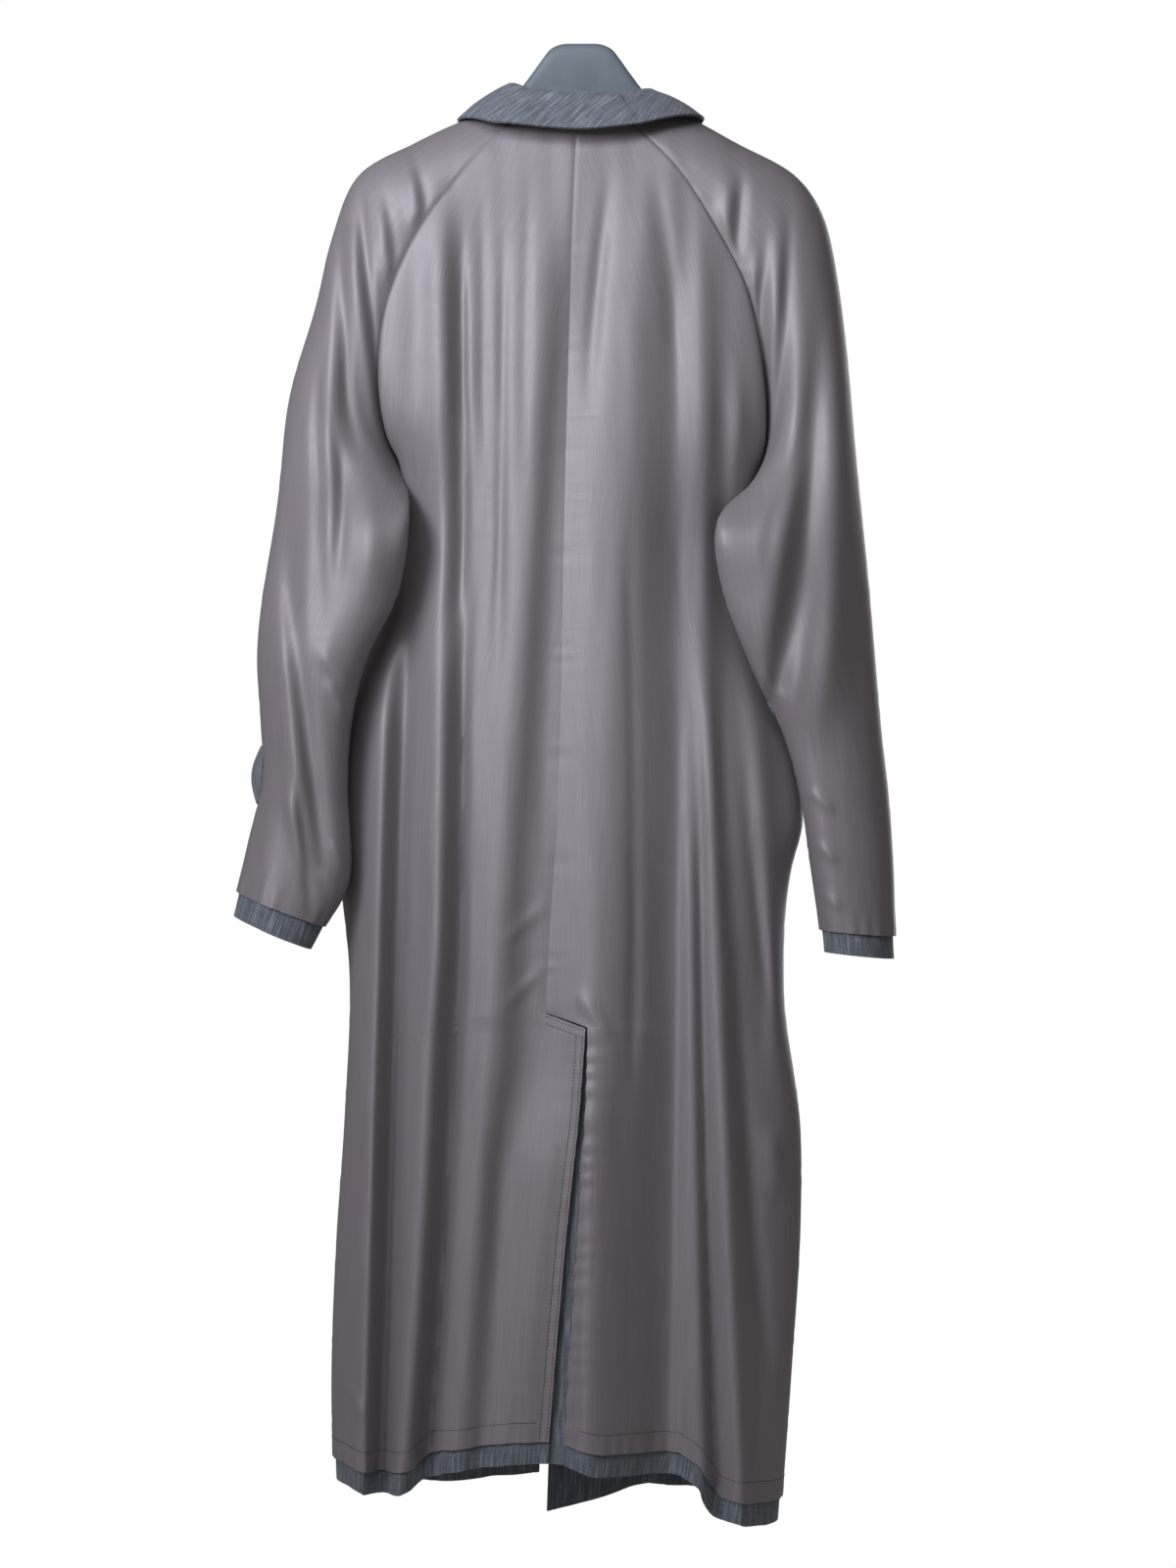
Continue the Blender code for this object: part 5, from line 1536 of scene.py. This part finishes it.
def add_world():
    """White to the camera, and a weak even light on the coat."""
    world = bpy.data.worlds.new("white studio")
    world.use_nodes = True
    nodes, links = world.node_tree.nodes, world.node_tree.links
    for node in list(nodes):
        nodes.remove(node)
    seen = nodes.new("ShaderNodeBackground")
    seen.inputs["Color"].default_value = (1.0, 1.0, 1.0, 1.0)
    seen.inputs["Strength"].default_value = 1.0
    lit = nodes.new("ShaderNodeBackground")
    lit.inputs["Color"].default_value = AMBIENT_COLOUR
    lit.inputs["Strength"].default_value = AMBIENT_STRENGTH
    path = nodes.new("ShaderNodeLightPath")
    choose = nodes.new("ShaderNodeMixShader")
    links.new(path.outputs["Is Camera Ray"], choose.inputs[0])
    links.new(lit.outputs[0], choose.inputs[1])
    links.new(seen.outputs[0], choose.inputs[2])
    put = nodes.new("ShaderNodeOutputWorld")
    links.new(choose.outputs[0], put.inputs["Surface"])
    bpy.context.scene.world = world


def build_stage():
    add_camera()
    bpy.context.scene.view_settings.view_transform = "Standard"
    bpy.ops.mesh.primitive_circle_add(vertices=FLOOR_SIDES, radius=FLOOR_RADIUS, fill_type="NGON")
    floor = bpy.context.object
    floor.name = "studio_floor"
    floor.location = (0.0, 0.0, -FLOOR_DROP)
    floor.data.materials.append(floor_material())
    for row in LIGHTS:
        add_light(*row)
    add_world()


class COAT_OT_half_backs(bpy.types.Operator):
    """Builds the two half backs of the lining."""

    bl_idname = "coat.half_backs"
    bl_label = "Half backs"

    def execute(self, context):
        build_half_backs()
        return {"FINISHED"}


class COAT_OT_half_fronts(bpy.types.Operator):
    """Builds the two half fronts of the lining."""

    bl_idname = "coat.half_fronts"
    bl_label = "Half fronts"

    def execute(self, context):
        build_half_fronts()
        return {"FINISHED"}


class COAT_OT_facings(bpy.types.Operator):
    """Builds the wool facings of the front edges."""

    bl_idname = "coat.facings"
    bl_label = "Facings"

    def execute(self, context):
        build_facings()
        return {"FINISHED"}


class COAT_OT_half_sleeves(bpy.types.Operator):
    """Builds the four half sleeves of the lining."""

    bl_idname = "coat.half_sleeves"
    bl_label = "Half sleeves"

    def execute(self, context):
        build_half_sleeves()
        return {"FINISHED"}


class COAT_OT_wool_edges(bpy.types.Operator):
    """Builds the wool that shows past the lining at the hem and the cuffs."""

    bl_idname = "coat.wool_edges"
    bl_label = "Wool hems and cuffs"

    def execute(self, context):
        build_wool_hems()
        build_wool_cuffs()
        return {"FINISHED"}


class COAT_OT_vent_underlay(bpy.types.Operator):
    """Builds the wool behind the back vent."""

    bl_idname = "coat.vent_underlay"
    bl_label = "Vent underlay"

    def execute(self, context):
        build_vent_underlay()
        return {"FINISHED"}


class COAT_OT_collar(bpy.types.Operator):
    """Builds the folded collar."""

    bl_idname = "coat.collar"
    bl_label = "Collar"

    def execute(self, context):
        build_collar()
        return {"FINISHED"}


class COAT_OT_strap(bpy.types.Operator):
    """Builds the short strap on the left sleeve."""

    bl_idname = "coat.strap"
    bl_label = "Sleeve strap"

    def execute(self, context):
        build_strap()
        return {"FINISHED"}


class COAT_OT_hanger(bpy.types.Operator):
    """Builds the broad hanger."""

    bl_idname = "coat.hanger"
    bl_label = "Hanger"

    def execute(self, context):
        build_hanger()
        return {"FINISHED"}


class COAT_OT_stitching(bpy.types.Operator):
    """Sews the rows of stitches."""

    bl_idname = "coat.stitching"
    bl_label = "Stitching"

    def execute(self, context):
        build_stitching()
        return {"FINISHED"}


class COAT_OT_stage(bpy.types.Operator):
    """Sets the camera, the lights and the floor."""

    bl_idname = "coat.stage"
    bl_label = "Stage"

    def execute(self, context):
        build_stage()
        return {"FINISHED"}


OPERATORS = (
    COAT_OT_stage,
    COAT_OT_half_backs,
    COAT_OT_half_fronts,
    COAT_OT_facings,
    COAT_OT_half_sleeves,
    COAT_OT_wool_edges,
    COAT_OT_vent_underlay,
    COAT_OT_collar,
    COAT_OT_strap,
    COAT_OT_hanger,
    COAT_OT_stitching,
)


class COAT_PT_panel(bpy.types.Panel):
    """Lists the coat's pieces, sizes and colours."""

    bl_idname = "COAT_PT_panel"
    bl_label = "Coat"
    bl_space_type = "VIEW_3D"
    bl_region_type = "UI"
    bl_category = "Coat"

    def draw(self, context):
        for operator in OPERATORS:
            self.layout.operator(operator.bl_idname)
        for group in (context.scene.coat_sizes, context.scene.coat_colours):
            for name in group.__annotations__:
                self.layout.prop(group, name)


CLASSES = (CoatSizes, CoatColours, *OPERATORS, COAT_PT_panel)


def register():
    for made in CLASSES:
        bpy.utils.register_class(made)
    bpy.types.Scene.coat_sizes = bpy.props.PointerProperty(type=CoatSizes)
    bpy.types.Scene.coat_colours = bpy.props.PointerProperty(type=CoatColours)


def unregister():
    del bpy.types.Scene.coat_colours
    del bpy.types.Scene.coat_sizes
    for made in reversed(CLASSES):
        bpy.utils.unregister_class(made)


def main():
    register()
    bpy.ops.coat.stage()
    bpy.ops.coat.half_backs()
    bpy.ops.coat.half_fronts()
    bpy.ops.coat.facings()
    bpy.ops.coat.half_sleeves()
    bpy.ops.coat.wool_edges()
    bpy.ops.coat.vent_underlay()
    bpy.ops.coat.collar()
    bpy.ops.coat.strap()
    bpy.ops.coat.hanger()
    bpy.ops.coat.stitching()


if __name__ == "__main__":
    main()
